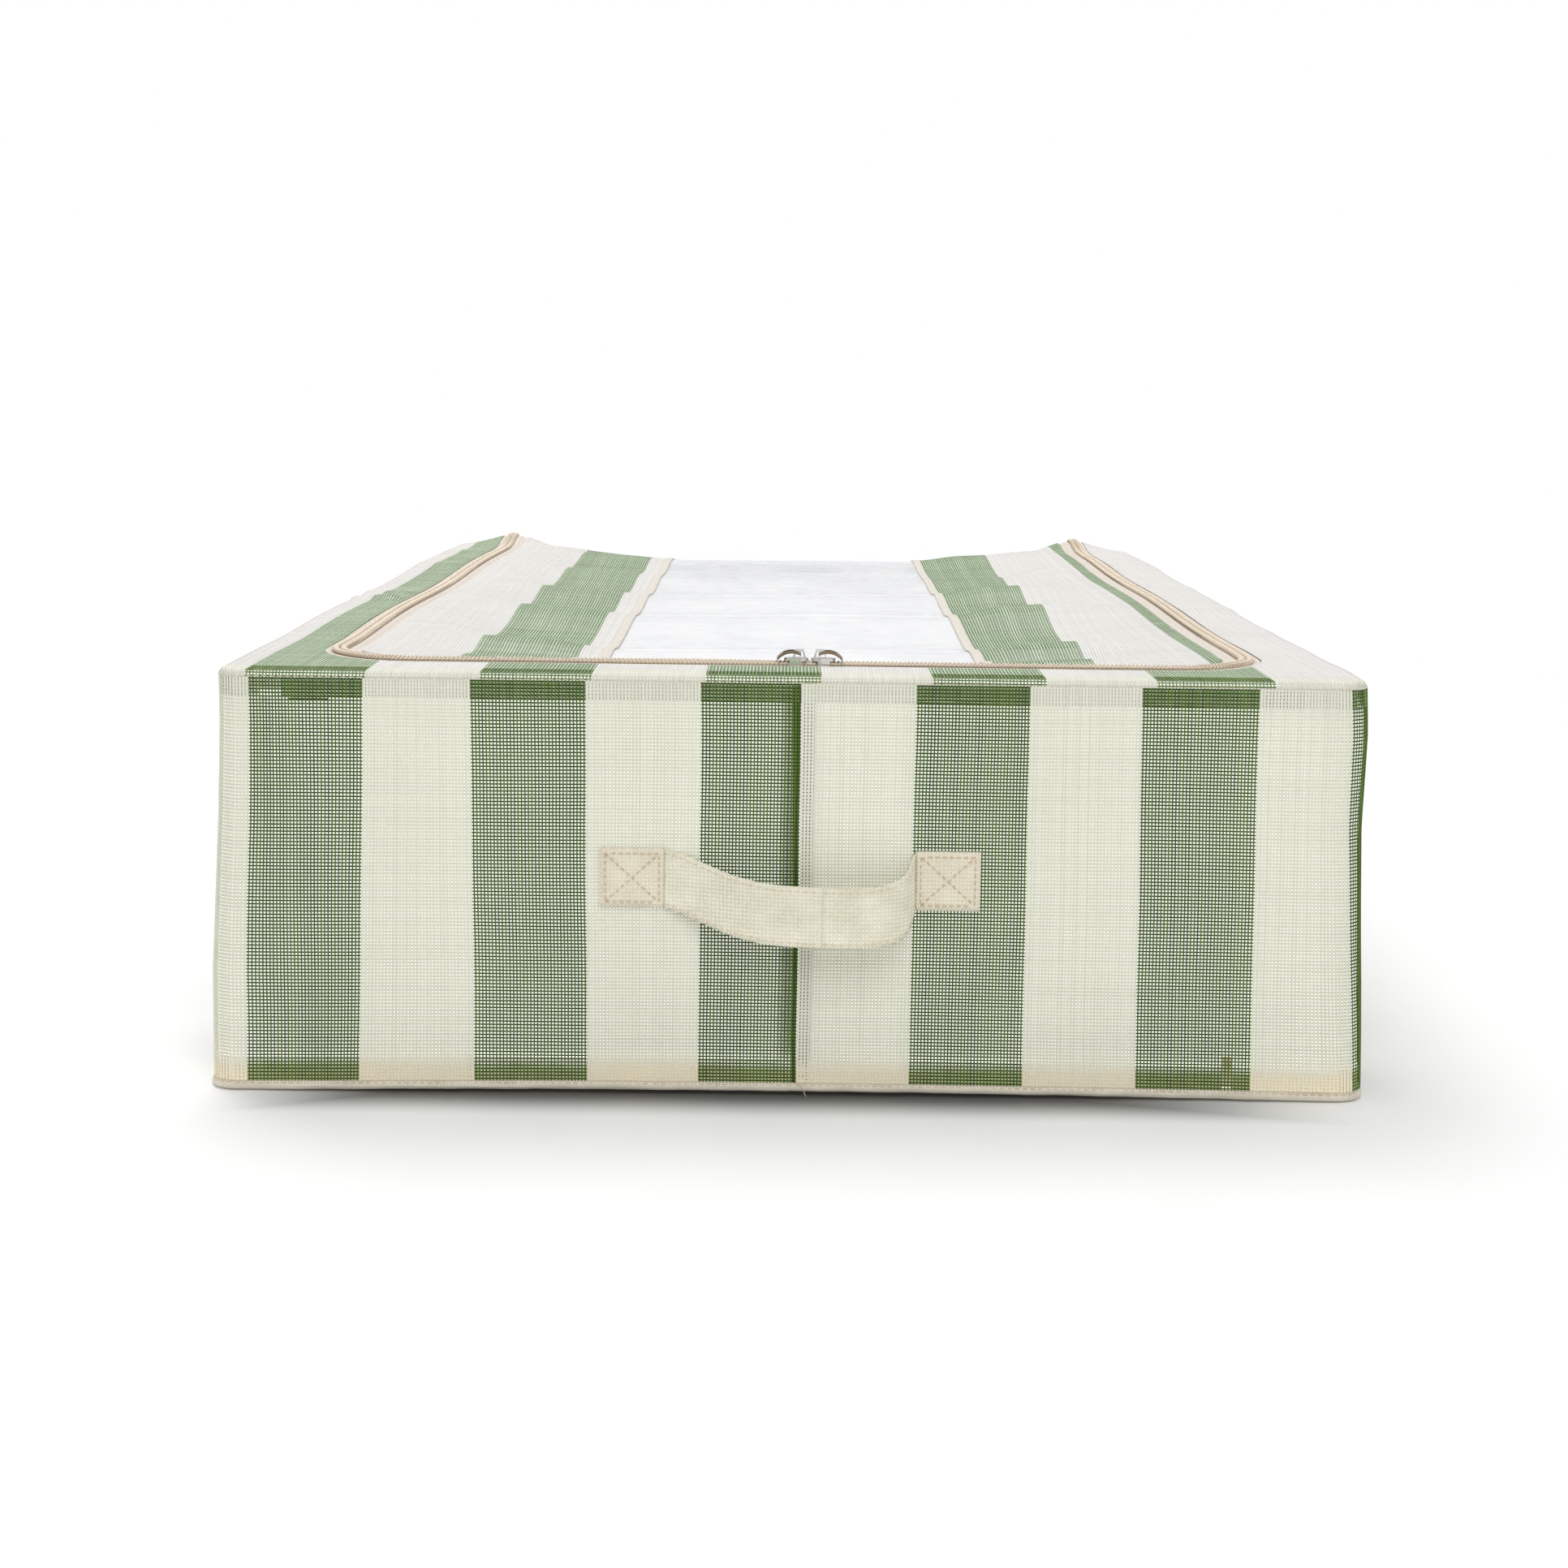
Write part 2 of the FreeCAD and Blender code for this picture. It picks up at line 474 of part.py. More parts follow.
# ---------------------------------------------------------------- sliders
def shield(name, bottom):
    """A slider plate: round nose towards +X, narrower round tail, symmetric about X."""
    body = doc.addObject("PartDesign::Body", name)
    sketch = sketch_on(body, f"{name}_outline", lift=bottom)
    nose_r = SIZE["slider_wide"] / 2
    tail_r = nose_r - SIZE["slider_taper"]
    nose_x = SIZE["slider_long"] / 2 - nose_r
    tail_x = tail_r - SIZE["slider_long"] / 2
    nose_ends = (Vector(nose_x, -nose_r, 0), Vector(nose_x, nose_r, 0))
    tail_ends = (Vector(tail_x, tail_r, 0), Vector(tail_x, -tail_r, 0))
    sketch.addGeometry(Part.Arc(nose_ends[0], Vector(nose_x + nose_r, 0, 0), nose_ends[1]))
    sketch.addGeometry(Part.LineSegment(nose_ends[1], tail_ends[0]))
    sketch.addGeometry(Part.Arc(tail_ends[0], Vector(tail_x - tail_r, 0, 0), tail_ends[1]))
    sketch.addGeometry(Part.LineSegment(tail_ends[1], nose_ends[0]))
    for piece in range(4):
        sketch.addConstraint(Sketcher.Constraint("Coincident", piece, 2, (piece + 1) % 4, 1))
    for arc in (0, 2):
        sketch.addConstraint(Sketcher.Constraint("Symmetric", arc, 1, arc, 2, -1))
    half_long = f"{S}slider_long / 2"
    nose_radius = f"{S}slider_wide / 2"
    tail_radius = f"({S}slider_wide / 2 - {S}slider_taper)"
    nose_out = f"{half_long} - {nose_radius}"
    tail_out = f"{half_long} - {tail_radius}"
    size_constraints(
        sketch,
        (
            ("nose_round", Sketcher.Constraint("Radius", 0, nose_r), nose_radius),
            ("tail_round", Sketcher.Constraint("Radius", 2, tail_r), tail_radius),
            ("nose_at", Sketcher.Constraint("DistanceX", -1, 1, 0, 3, nose_x), nose_out),
            ("tail_at", Sketcher.Constraint("DistanceX", 2, 3, -1, 1, -tail_x), tail_out),
            ("nose_edge", Sketcher.Constraint("DistanceX", -1, 1, 0, 1, nose_x), nose_out),
            ("tail_edge", Sketcher.Constraint("DistanceX", 2, 1, -1, 1, -tail_x), tail_out),
        ),
    )
    pad_of(body, sketch, f"{S}slider_plate")
    return body


def slider_shell(name):
    """Two plates joined by the wedge between the rows, with lips that hang beside the rows."""
    floor = shield(f"{name}_floor", SLIDER_FLOOR)
    roof = shield(f"{name}_roof", SLIDER_ROOF)
    web_place = (f"{S}slider_long / 2 - {S}web_long - {S}web_back", f"-{S}web_thick / 2", SLIDER_FLOOR)
    web_rise = f"{SLIDER_TOP} - {SLIDER_FLOOR}"
    web = block(f"{name}_web", (f"{S}web_long", f"{S}web_thick", web_rise), web_place)
    lip_foot = f"({TAPE_TOP} + {S}lip_clear)"
    lip_size = (f"{S}lip_long", f"{S}web_thick", f"({SLIDER_ROOF} - {lip_foot} + {S}gap)")
    row_edge = f"({S}row_offset + {S}row_radius + 0.75 * {S}slider_clear)"
    shell = doc.addObject("Part::MultiFuse", f"{name}_shell")
    lips = []
    for edge, y in (("near", f"-{row_edge} - {S}web_thick"), ("far", row_edge)):
        lips.append(block(f"{name}_lip_{edge}", lip_size, (f"-{S}slider_long / 2 + {S}lip_ahead", y, lip_foot)))
    shell.Shapes = [floor, roof, web, *lips]
    return shell


def crown(name):
    """The bent bridge on a slider's roof that holds the pull."""
    body = doc.addObject("PartDesign::Body", f"{name}_crown_strip")
    sketch = sketch_on(body, f"{name}_crown_side", "XZ_Plane")
    thick, rise, front, back = 0.85, 3.8, 4.3, -1.7
    front_lean, back_lean, inner_lean = 1.0, 1.2, 0.8 * thick
    outline = (
        (front, 0),
        (front - front_lean, rise),
        (back + back_lean, rise),
        (back, 0),
        (back + thick, 0),
        (back + back_lean + inner_lean, rise - thick),
        (front - front_lean - inner_lean, rise - thick),
        (front - thick, 0),
    )
    for index, (x, z) in enumerate(outline):
        next_x, next_z = outline[(index + 1) % len(outline)]
        line = sketch.addGeometry(Part.LineSegment(Vector(x, z, 0), Vector(next_x, next_z, 0)))
        sketch.addConstraint(Sketcher.Constraint("Block", line))
    pad_of(body, sketch, f"{S}crown_wide", both_ways=True)
    return body


def ring_pull(name):
    """An arched loop along X: a pivot bar at +X, two side bars and a flat end block at -X."""
    half = f"({S}pull_long / 2)"
    across = f"({S}pull_wide + 2)"
    arch = arched_band(f"{name}_arch", half, f"{S}pull_arch", f"{S}pull_bar", f"-{across} / 2", across)
    strip_size = (f"{S}pull_long", f"{S}pull_wide", f"4 * {S}pull_arch")
    strip_place = (f"-{half}", f"-{S}pull_wide / 2", f"-{S}pull_arch")
    clip = block(f"{name}_strip_clip", strip_size, strip_place)
    strip = boolean("Common", f"{name}_pull_strip", arch, clip)
    opening_long = f"({S}pull_long - {S}pull_bar - {S}pull_block)"
    opening_wide = f"({S}pull_wide - 2 * {S}pull_side)"
    opening_place = (f"{half} - {S}pull_bar - {opening_long}", f"-{opening_wide} / 2", f"-2 * {S}pull_arch")
    opening = block(f"{name}_opening", (opening_long, opening_wide, f"6 * {S}pull_arch"), opening_place)
    return boolean("Cut", f"{name}_pull_loop", strip, opening)


def make_sliders():
    """Both sliders with crown and pull, nose to nose a little right of the middle of the front."""
    bar_out = f"({S}pull_long - {S}pull_bar) / 2"
    bar_up = f"{S}pull_arch * (1 - (1 - {S}pull_bar / {S}pull_long) ^ 2)"
    across = f"({bar_out} * cos({S}pull_tilt) - {bar_up} * sin({S}pull_tilt))"
    down = f"({bar_out} * sin({S}pull_tilt) + {bar_up} * cos({S}pull_tilt))"
    pull_x = f"({SLIDER_X} - {S}pivot_ahead + {across})"
    for side, turn, sign in (("left", 0, "-"), ("right", 180, "+")):
        name = f"slider_{side}"
        facing = Rotation(Vector(0, 0, 1), turn)
        hanging = facing * Rotation(Vector(0, 1, 0), -SIZE["pull_tilt"])
        rows = (
            ("body", slider_shell(name), facing, SLIDER_X, "0"),
            ("crown", crown(name), facing, SLIDER_X, f"{SLIDER_TOP} + {S}gap / 5"),
            ("pull", ring_pull(name), hanging, pull_x, f"{SLIDER_TOP} + {S}pivot_rise - {down}"),
        )
        for word, thing, rotation, x, z in rows:
            thing.Placement = Placement(Vector(0, 0, 0), rotation)
            bind(thing, Placement__Base__x=f"{S}meet_at {sign} {x}", Placement__Base__y=f"-{CHAIN_Y}")
            bind(thing, Placement__Base__z=z)
            is_part(f"{name}_{word}", thing)


# ---------------------------------------------------------------- handle
def make_strap():
    """The free span of the webbing: it bulges out in plan and droops in front view."""
    reach = f"({S}strap_reach - {S}gap)"
    droop_round = arc_radius(reach, f"{S}strap_droop")
    bulge_round = arc_radius(reach, f"{S}strap_bulge")
    back_y = f"(-{PATCH_BACK} - {S}gap)"
    far_y = f"({back_y} - 2 * {S}strap_bulge)"
    along = Rotation(Vector(1, 0, 0), -90)
    low_z = f"({S}strap_foot - {S}strap_droop + {droop_round})"
    low = cylinder("droop_lower", droop_round, f"2 * {S}strap_bulge", along, (0, far_y, low_z))
    high_place = (0, far_y, f"{low_z} + {S}strap_wide")
    high = cylinder("droop_upper", droop_round, f"2 * {S}strap_bulge", along, high_place)
    drooping = boolean("Cut", "strap_drooping", low, high)
    front_y = f"({back_y} - {S}strap_thick - {S}strap_bulge + {bulge_round})"
    outside = cylinder("bulge_outside", bulge_round, f"{S}height", Rotation(), (0, front_y, 0))
    inside_place = (0, f"{front_y} + {S}strap_thick", 0)
    inside = cylinder("bulge_inside", bulge_round, f"{S}height", Rotation(), inside_place)
    bulging = boolean("Cut", "strap_bulging", outside, inside)
    clip_size = (f"2 * {reach}", f"2 * {S}strap_bulge", f"{S}strap_foot + {S}strap_wide")
    clip = block("strap_clip", clip_size, (f"-{reach}", far_y, 0))
    strip = boolean("Common", "strap_strip", drooping, clip)
    is_part("handle_strap", boolean("Common", "handle_strap", strip, bulging))


def make_strap_ends():
    """The two sewn ends of the webbing and the stitched frame on each."""
    upright = Rotation(Vector(1, 0, 0), 90)
    far = f"({S}strap_reach + {S}strap_sewn)"
    end_size = (f"{S}strap_sewn", f"{S}strap_thick", f"{S}strap_wide")
    frame_outline = (f"{S}strap_sewn - 2 * {S}stitch_inset", f"{S}strap_wide - 2 * {S}stitch_inset", "1")
    frame_hole = tuple(f"{size} - {count} * {S}thread" for size, count in zip(frame_outline, (4, 4, 2)))
    for side, sign, x in (("left", "-", f"-{far}"), ("right", "", f"{S}strap_reach")):
        place = (x, f"-{PATCH_BACK} - {S}strap_thick", f"{S}strap_foot")
        is_part(f"handle_end_{side}", block(f"handle_end_{side}", end_size, place))
        thread = plate(f"handle_thread_{side}", *frame_outline, 0, f"{S}thread", hole=frame_hole)
        thread.Placement = Placement(Vector(0, 0, 0), upright)
        bind(
            thread,
            Placement__Base__x=f"{sign}({S}strap_reach + {S}strap_sewn / 2)",
            Placement__Base__y=f"-{PATCH_BACK} - {S}strap_thick - {S}gap / 2",
            Placement__Base__z=f"{S}strap_foot + {S}strap_wide / 2",
        )
        is_part(f"handle_thread_{side}", thread)


def check_document():
    """Stops if any object of the document failed or any sub-part has no valid solid."""
    for thing in doc.Objects:
        failed = [word for word in thing.State if word in ("Invalid", "Error")]
        if failed:
            raise SystemExit(f"{thing.Label} failed: {failed}")
    for label, thing in parts.items():
        if thing.Shape.isNull() or not thing.Shape.isValid() or not thing.Shape.Solids:
            raise SystemExit(f"{label} has no valid solid")


def export_parts():
    """Writes each sub-part to parts/NODE.step."""
    os.makedirs("parts", exist_ok=True)
    for label, thing in parts.items():
        thing.Shape.exportStep(f"parts/{label}.step")
        print(label, len(thing.Shape.Solids), round(thing.Shape.Volume, 1), thing.Shape.BoundBox)


make_base()
make_walls()
make_boards()
make_linings()
make_label()
make_seam_threads()
make_border()
make_zip()
make_lid()
make_hinge_tape()
make_sliders()
make_strap()
make_strap_ends()
doc.recompute()
check_document()
export_parts()
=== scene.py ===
"""Looks of the under bed box, in the frame of its CAD part.

The striped mesh is drawn thread by thread over white boards, the lid is a cloth-simulated sheet with a clear
window, the zip has real coils and corded tapes, and canvas, webbing and stitches finish it."""

import math

import bpy
import numpy as np
from mathutils import Matrix, Vector


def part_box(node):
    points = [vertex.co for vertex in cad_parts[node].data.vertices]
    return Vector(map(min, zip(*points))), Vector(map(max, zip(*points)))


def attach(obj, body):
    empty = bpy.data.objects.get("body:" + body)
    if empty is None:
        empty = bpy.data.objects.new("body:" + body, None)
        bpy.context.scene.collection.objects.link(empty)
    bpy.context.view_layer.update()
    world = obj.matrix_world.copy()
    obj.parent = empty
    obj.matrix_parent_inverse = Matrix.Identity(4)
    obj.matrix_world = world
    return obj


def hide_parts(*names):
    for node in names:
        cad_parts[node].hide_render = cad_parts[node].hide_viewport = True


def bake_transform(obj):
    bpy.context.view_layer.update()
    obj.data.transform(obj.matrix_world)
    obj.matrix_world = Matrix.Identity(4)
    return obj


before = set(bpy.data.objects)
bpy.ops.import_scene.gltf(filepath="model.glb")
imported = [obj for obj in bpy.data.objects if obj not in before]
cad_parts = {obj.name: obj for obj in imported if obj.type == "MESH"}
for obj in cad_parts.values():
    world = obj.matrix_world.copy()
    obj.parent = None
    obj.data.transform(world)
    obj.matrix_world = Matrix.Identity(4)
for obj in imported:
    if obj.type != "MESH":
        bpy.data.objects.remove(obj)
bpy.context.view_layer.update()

MM = 0.001

# ---- sizes read from the CAD part
HALF_W, HALF_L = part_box("base_panel")[1].xy
TUCK = 1.6 * MM
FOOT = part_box("wall_left")[0].z - TUCK
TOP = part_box("top_border")[1].z
COIL_LOW, COIL_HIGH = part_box("zip_coil_outer")
COIL_R = (COIL_HIGH.z - COIL_LOW.z) / 2
COIL_Z = (COIL_HIGH.z + COIL_LOW.z) / 2
CHAIN_X = (COIL_HIGH.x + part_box("zip_coil_inner")[1].x) / 2 - COIL_R
CHAIN_Y = (COIL_LOW.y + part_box("zip_coil_inner")[0].y) / 2 + COIL_R
CHAIN_END = COIL_HIGH.y
ROW_OFFSET = COIL_HIGH.x - COIL_R - CHAIN_X
LID_LOW, LID_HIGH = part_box("lid_panel")
BINDING_LOW, BINDING_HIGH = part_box("window_binding")
HEM_LOW, HEM_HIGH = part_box("base_hem")

# ---- sizes the CAD part doesn't hold: thread, roll of the top edge, slouch
CORNER = 12 * MM
CHAIN_CORNER = 40 * MM
SEAM_X = 3.9 * MM
ROLL = 3 * MM
SEAM_Z = TOP - ROLL
WARP_PITCH = 1.5 * MM
WEFT_PITCH = 1.55 * MM
THREAD = {"green": 0.62 * MM, "cream": 1.0 * MM}
RIDGE = 0.22 * MM
BACK_SAG = 10 * MM
MIDDLE_SAG = 7.5 * MM
ZIP_END_RISE = 8.5 * MM
TOE = 2 * MM
FRONT_BOW = 1.7 * MM
HEM_FADE = (HEM_LOW.z + 4.5 * MM, HEM_HIGH.z)

# ---- colours, as dark and light sRGB ends of each thread's range; the top_ and rim_ sets are the same threads with painted light and painted shade
THREAD_COLOURS = {
    "green_warp": ((0.21, 0.31, 0.04), (0.40, 0.51, 0.13)),
    "green_weft": ((0.04, 0.09, 0.0), (0.15, 0.23, 0.03)),
    "cream_warp": ((0.83, 0.83, 0.77), (0.89, 0.89, 0.83)),
    "cream_weft": ((0.79, 0.79, 0.72), (0.87, 0.87, 0.80)),
    # top_ threads: painted lighter for the light falling on the lid and the top border
    "top_green_warp": ((0.62, 0.68, 0.58), (0.79, 0.84, 0.75)),
    "top_green_weft": ((0.32, 0.39, 0.27), (0.52, 0.58, 0.47)),
    "top_cream_warp": ((0.78, 0.77, 0.76), (0.85, 0.84, 0.83)),
    "top_cream_weft": ((0.72, 0.71, 0.69), (0.80, 0.79, 0.77)),
    # rim_ threads: painted darker than the top_ ones for the shade on the border's front rim
    "rim_green_warp": ((0.33, 0.42, 0.19), (0.54, 0.63, 0.38)),
    "rim_green_weft": ((0.10, 0.17, 0.05), (0.26, 0.35, 0.16)),
    "rim_cream_warp": ((0.75, 0.75, 0.70), (0.83, 0.83, 0.78)),
    "rim_cream_weft": ((0.75, 0.75, 0.70), (0.83, 0.83, 0.78)),
}
STAIN = (0.94, 0.90, 0.80)
OUTWARD = np.array([0.0, -1.0, 0.0])


# ==== small maths
def smooth(t):
    """0 below 0, 1 above 1, with a soft step between."""
    t = np.clip(t, 0, 1)
    return t * t * (3 - 2 * t)


def hump(distance, reach):
    """A bell, 1 at no distance."""
    return np.exp(-((distance / reach) ** 2))


def drift(a, b, reach, seed):
    """Slow repeatable variation, about -1 to 1, over two coordinates."""
    total = np.zeros(np.broadcast(a, b).shape)
    for k in range(3):
        turn = seed * 1.7 + k * 2.1
        wave = 2 * math.pi / (reach * (1 + 0.37 * k))
        total += np.sin(wave * (a * math.cos(turn) + b * math.sin(turn)) + seed * 3.1 + k * 1.3)
    return total / 3


def unit(v):
    return v / np.maximum(np.linalg.norm(v, axis=-1, keepdims=True), 1e-12)


def points(x, y, z):
    return np.stack(np.broadcast_arrays(x, y, z), axis=-1)


class Route:
    """A flat path of straight runs and round corners, walked with the outside on the right."""

    def __init__(self, corners, radius, closed=False):
        corners = np.array(corners, float)
        path = [corners[0]]
        for before, here, after in zip(corners, corners[1:], corners[2:]):
            back, ahead = unit(before - here), unit(after - here)
            centre = here + (back + ahead) * radius
            for t in np.linspace(0, math.pi / 2, 17):
                path.append(centre - ahead * radius * math.cos(t) - back * radius * math.sin(t))
        path.append(corners[-1])
        path = np.array(path)
        fine = [path[:1]]
        for start, end in zip(path, path[1:]):
            count = max(1, int(np.linalg.norm(end - start) / (4 * MM)))
            fine.append(start + (end - start) * (np.arange(1, count + 1) / count)[:, None])
        self.path = np.concatenate(fine)
        step = np.linalg.norm(np.diff(self.path, axis=0), axis=1)
        self.s = np.concatenate([[0], np.cumsum(step)])
        self.length = self.s[-1]
        ahead = np.gradient(self.path, axis=0)
        if closed:
            ahead[0] = ahead[-1]
        self.right = unit(np.stack([ahead[:, 1], -ahead[:, 0]], axis=1))
        self.closed = closed

    def at(self, s, out=0.0):
        """x and y at length s, moved out to the right."""
        s = np.mod(s, self.length) if self.closed else s
        x, y = (np.interp(s, self.s, self.path[:, k]) for k in (0, 1))
        nx, ny = (np.interp(s, self.s, self.right[:, k]) for k in (0, 1))
        size = np.maximum(np.hypot(nx, ny), 1e-9)
        return x + out * nx / size, y + out * ny / size


# ==== mesh building
def mesh_object(name, chunks, material, smooth_faces=True):
    """One mesh from (vertices, quads) chunks."""
    verts, quads, start = [], [], 0
    for v, q in chunks:
        verts.append(v.reshape(-1, 3))
        quads.append(q.reshape(-1, 4) + start)
        start += len(verts[-1])
    verts, quads = np.concatenate(verts), np.concatenate(quads)
    mesh = bpy.data.meshes.new(name)
    mesh.vertices.add(len(verts))
    mesh.vertices.foreach_set("co", verts.astype(np.float32).ravel())
    mesh.loops.add(quads.size)
    mesh.loops.foreach_set("vertex_index", quads.astype(np.int32).ravel())
    mesh.polygons.add(len(quads))
    mesh.polygons.foreach_set("loop_start", np.arange(0, quads.size, 4, dtype=np.int32))
    mesh.polygons.foreach_set("use_smooth", np.full(len(quads), smooth_faces))
    mesh.update(calc_edges=True)
    mesh.validate()
    mesh.materials.append(material)
    obj = bpy.data.objects.new(name, mesh)
    bpy.context.scene.collection.objects.link(obj)
    return obj


def add_piece(name, chunks, finish, body, nodes, blend=None, smooth_faces=True):
    """A mesh in its finish that rides a body, or stays fixed where it is built when a blend is given, with
    the nodes it stands for hidden.
    """
    piece = mesh_object(name, chunks, FINISH[finish], smooth_faces)
    if blend is None:
        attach(piece, body)
    else:
        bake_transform(piece)
    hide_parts(*nodes)
    return piece


def spread(low, high, count, axes="xy"):
    """Even places from corner to corner along two axes, ready to broadcast as rows and columns."""
    a, b = (np.linspace(getattr(low, k), getattr(high, k), n) for k, n in zip(axes, count))
    return a[:, None], b[None, :]


def grid_quads(rows, columns):
    i = np.arange(rows * columns).reshape(rows, columns)
    return np.stack([i[:-1, :-1], i[1:, :-1], i[1:, 1:], i[:-1, 1:]], -1).reshape(-1, 4)


def ribbons(line, across, up, width, ridge):
    """A flat thread with a raised middle along each row of line."""
    verts = np.stack([line - across * width / 2, line + up * ridge, line + across * width / 2], axis=2)
    rows, count = line.shape[:2]
    return verts, grid_quads(count, 3) + (np.arange(rows) * count * 3)[:, None, None]


def tubes(line, up, radius, sides=6):
    """A round strand along each row of line; radius may vary along it."""
    rows, count = line.shape[:2]
    ahead = unit(np.gradient(line, axis=1))
    side = unit(np.cross(ahead, up))
    lift = np.cross(side, ahead)
    turn = np.arange(sides) * 2 * math.pi / sides
    reach = np.broadcast_to(radius, (count,))[None, :, None, None]
    ring = np.cos(turn)[:, None] * side[:, :, None] + np.sin(turn)[:, None] * lift[:, :, None]
    verts = line[:, :, None] + reach * ring
    i = np.arange(rows * count * sides).reshape(rows, count, sides)
    j = np.roll(i, -1, axis=2)
    quads = np.stack([i[:, :-1], j[:, :-1], j[:, 1:], i[:, 1:]], -1)
    return verts, quads.reshape(-1, 4)


def slab(outer, inner):
    """Closed shell between two grids of points."""
    rows, columns = outer.shape[:2]
    face = grid_quads(rows, columns)
    i = np.arange(rows * columns).reshape(rows, columns)
    rim = np.concatenate([i[0, :-1], i[:-1, -1], i[-1, :0:-1], i[:0:-1, 0]])
    after = np.roll(rim, -1)
    wall = np.stack([rim, after, after + i.size, rim + i.size], -1)
    quads = np.concatenate([face, face[:, ::-1] + i.size, wall])
    return np.concatenate([outer.reshape(-1, 3), inner.reshape(-1, 3)]), quads


def stitches(line, up, length=2.5 * MM, gap=0.9 * MM, radius=0.2 * MM):
    """Short rounded stitches along a polyline that lies on cloth, up being the cloth's outward direction."""
    step = np.linalg.norm(np.diff(line, axis=0), axis=1)
    s = np.concatenate([[0], np.cumsum(step)])
    starts = np.arange(0, s[-1] - length, length + gap)
    t = np.array([0, 0.12, 0.5, 0.88, 1.0])
    along = starts[:, None] + t * length
    rows = np.stack([np.interp(along, s, line[:, k]) for k in range(3)], axis=-1)
    rows += up * (np.array([-0.3, 0.5, 1.0, 0.5, -0.3])[:, None] * radius)
    return tubes(rows, np.broadcast_to(up, rows.shape), radius * np.array([0.15, 0.8, 1, 0.8, 0.15]))


# ==== procedural materials
def linear(colour):
    """Scene-linear RGBA of an sRGB colour."""
    return tuple(c / 12.92 if c <= 0.04045 else ((c + 0.055) / 1.055) ** 2.4 for c in colour) + (1,)


class Finish:
    """A Principled material whose colour, roughness and bump come from nodes."""

    def __init__(self, name, rough, metal=0.0, sheen=0.0):
        self.material = bpy.data.materials.new(name)
        self.material.use_nodes = True
        self.nodes = self.material.node_tree.nodes
        self.links = self.material.node_tree.links
        self.shader = self.nodes["Principled BSDF"]
        self.shader.inputs["Metallic"].default_value = metal
        self.shader.inputs["Sheen Weight"].default_value = sheen
        self.where = self.node("ShaderNodeTexCoord").outputs["Object"]
        self.bumps = None
        grain = self.noise(9 * MM, 3)
        self.links.new(self.scaled(grain, rough - 0.08, rough + 0.08), self.shader.inputs["Roughness"])

    def node(self, kind, **values):
        made = self.nodes.new(kind)
        for key, value in values.items():
            setattr(made, key, value)
        return made

    def noise(self, size, detail=2.0, stretch=(1, 1, 1)):
        """0 to 1 noise with grains of about this size."""
        mapping = self.node("ShaderNodeMapping")
        mapping.inputs["Scale"].default_value = stretch
        self.links.new(self.where, mapping.inputs["Vector"])
        texture = self.node("ShaderNodeTexNoise")
        texture.inputs["Scale"].default_value = 1 / size
        texture.inputs["Detail"].default_value = detail
        self.links.new(mapping.outputs["Vector"], texture.inputs["Vector"])
        return texture.outputs["Fac"]

    def bands(self, axis, pitch, phase=0.0):
        """0 to 1 sine bands along an axis."""
        texture = self.node("ShaderNodeTexWave", bands_direction=axis)
        texture.inputs["Scale"].default_value = 0.314 / pitch
        texture.inputs["Phase Offset"].default_value = phase
        self.links.new(self.where, texture.inputs["Vector"])
        return texture.outputs["Fac"]

    def scaled(self, value, low, high):
        made = self.node("ShaderNodeMapRange")
        made.inputs["To Min"].default_value = low
        made.inputs["To Max"].default_value = high
        self.links.new(value, made.inputs["Value"])
        return made.outputs["Result"]

    def maths(self, operation, a, b):
        made = self.node("ShaderNodeMath", operation=operation)
        for socket, value in zip(made.inputs, (a, b)):
            if isinstance(value, (int, float)):
                socket.default_value = value
            else:
                self.links.new(value, socket)
        return made.outputs[0]

    def blend(self, share, low, high):
        """A colour between two, each an sRGB colour or a socket."""
        made = self.node("ShaderNodeMix", data_type="RGBA")
        self.links.new(share, made.inputs["Factor"])
        for key, value in ((6, low), (7, high)):
            if isinstance(value, tuple):
                made.inputs[key].default_value = linear(value)
            else:
                self.links.new(value, made.inputs[key])
        return made.outputs[2]

    def place(self, axis):
        """The object-space X, Y or Z of the shaded point."""
        split = self.node("ShaderNodeSeparateXYZ")
        self.links.new(self.where, split.inputs[0])
        return split.outputs[axis]

    def ramp(self, value, start, stop):
        """0 to 1 in a soft step while the value goes from start to stop."""
        made = self.node("ShaderNodeMapRange", interpolation_type="SMOOTHSTEP")
        made.inputs["From Min"].default_value = start
        made.inputs["From Max"].default_value = stop
        self.links.new(value, made.inputs["Value"])
        return made.outputs["Result"]

    def height_ramp(self, ends, unevenness):
        """0 to 1 between two heights, with an uneven edge."""
        uneven = self.maths("MULTIPLY", self.maths("SUBTRACT", self.noise(25 * MM, 3), 0.5), unevenness)
        return self.ramp(self.maths("ADD", self.place("Z"), uneven), *ends)

    def colour(self, value):
        self.links.new(value, self.shader.inputs["Base Color"])

    def bump(self, height, depth):
        """Adds relief; depth is the height of the pattern's full range."""
        made = self.node("ShaderNodeBump")
        made.inputs["Distance"].default_value = depth
        made.inputs["Strength"].default_value = 1.0
        self.links.new(height, made.inputs["Height"])
        if self.bumps is not None:
            self.links.new(self.bumps, made.inputs["Normal"])
        self.bumps = made.outputs["Normal"]
        self.links.new(self.bumps, self.shader.inputs["Normal"])


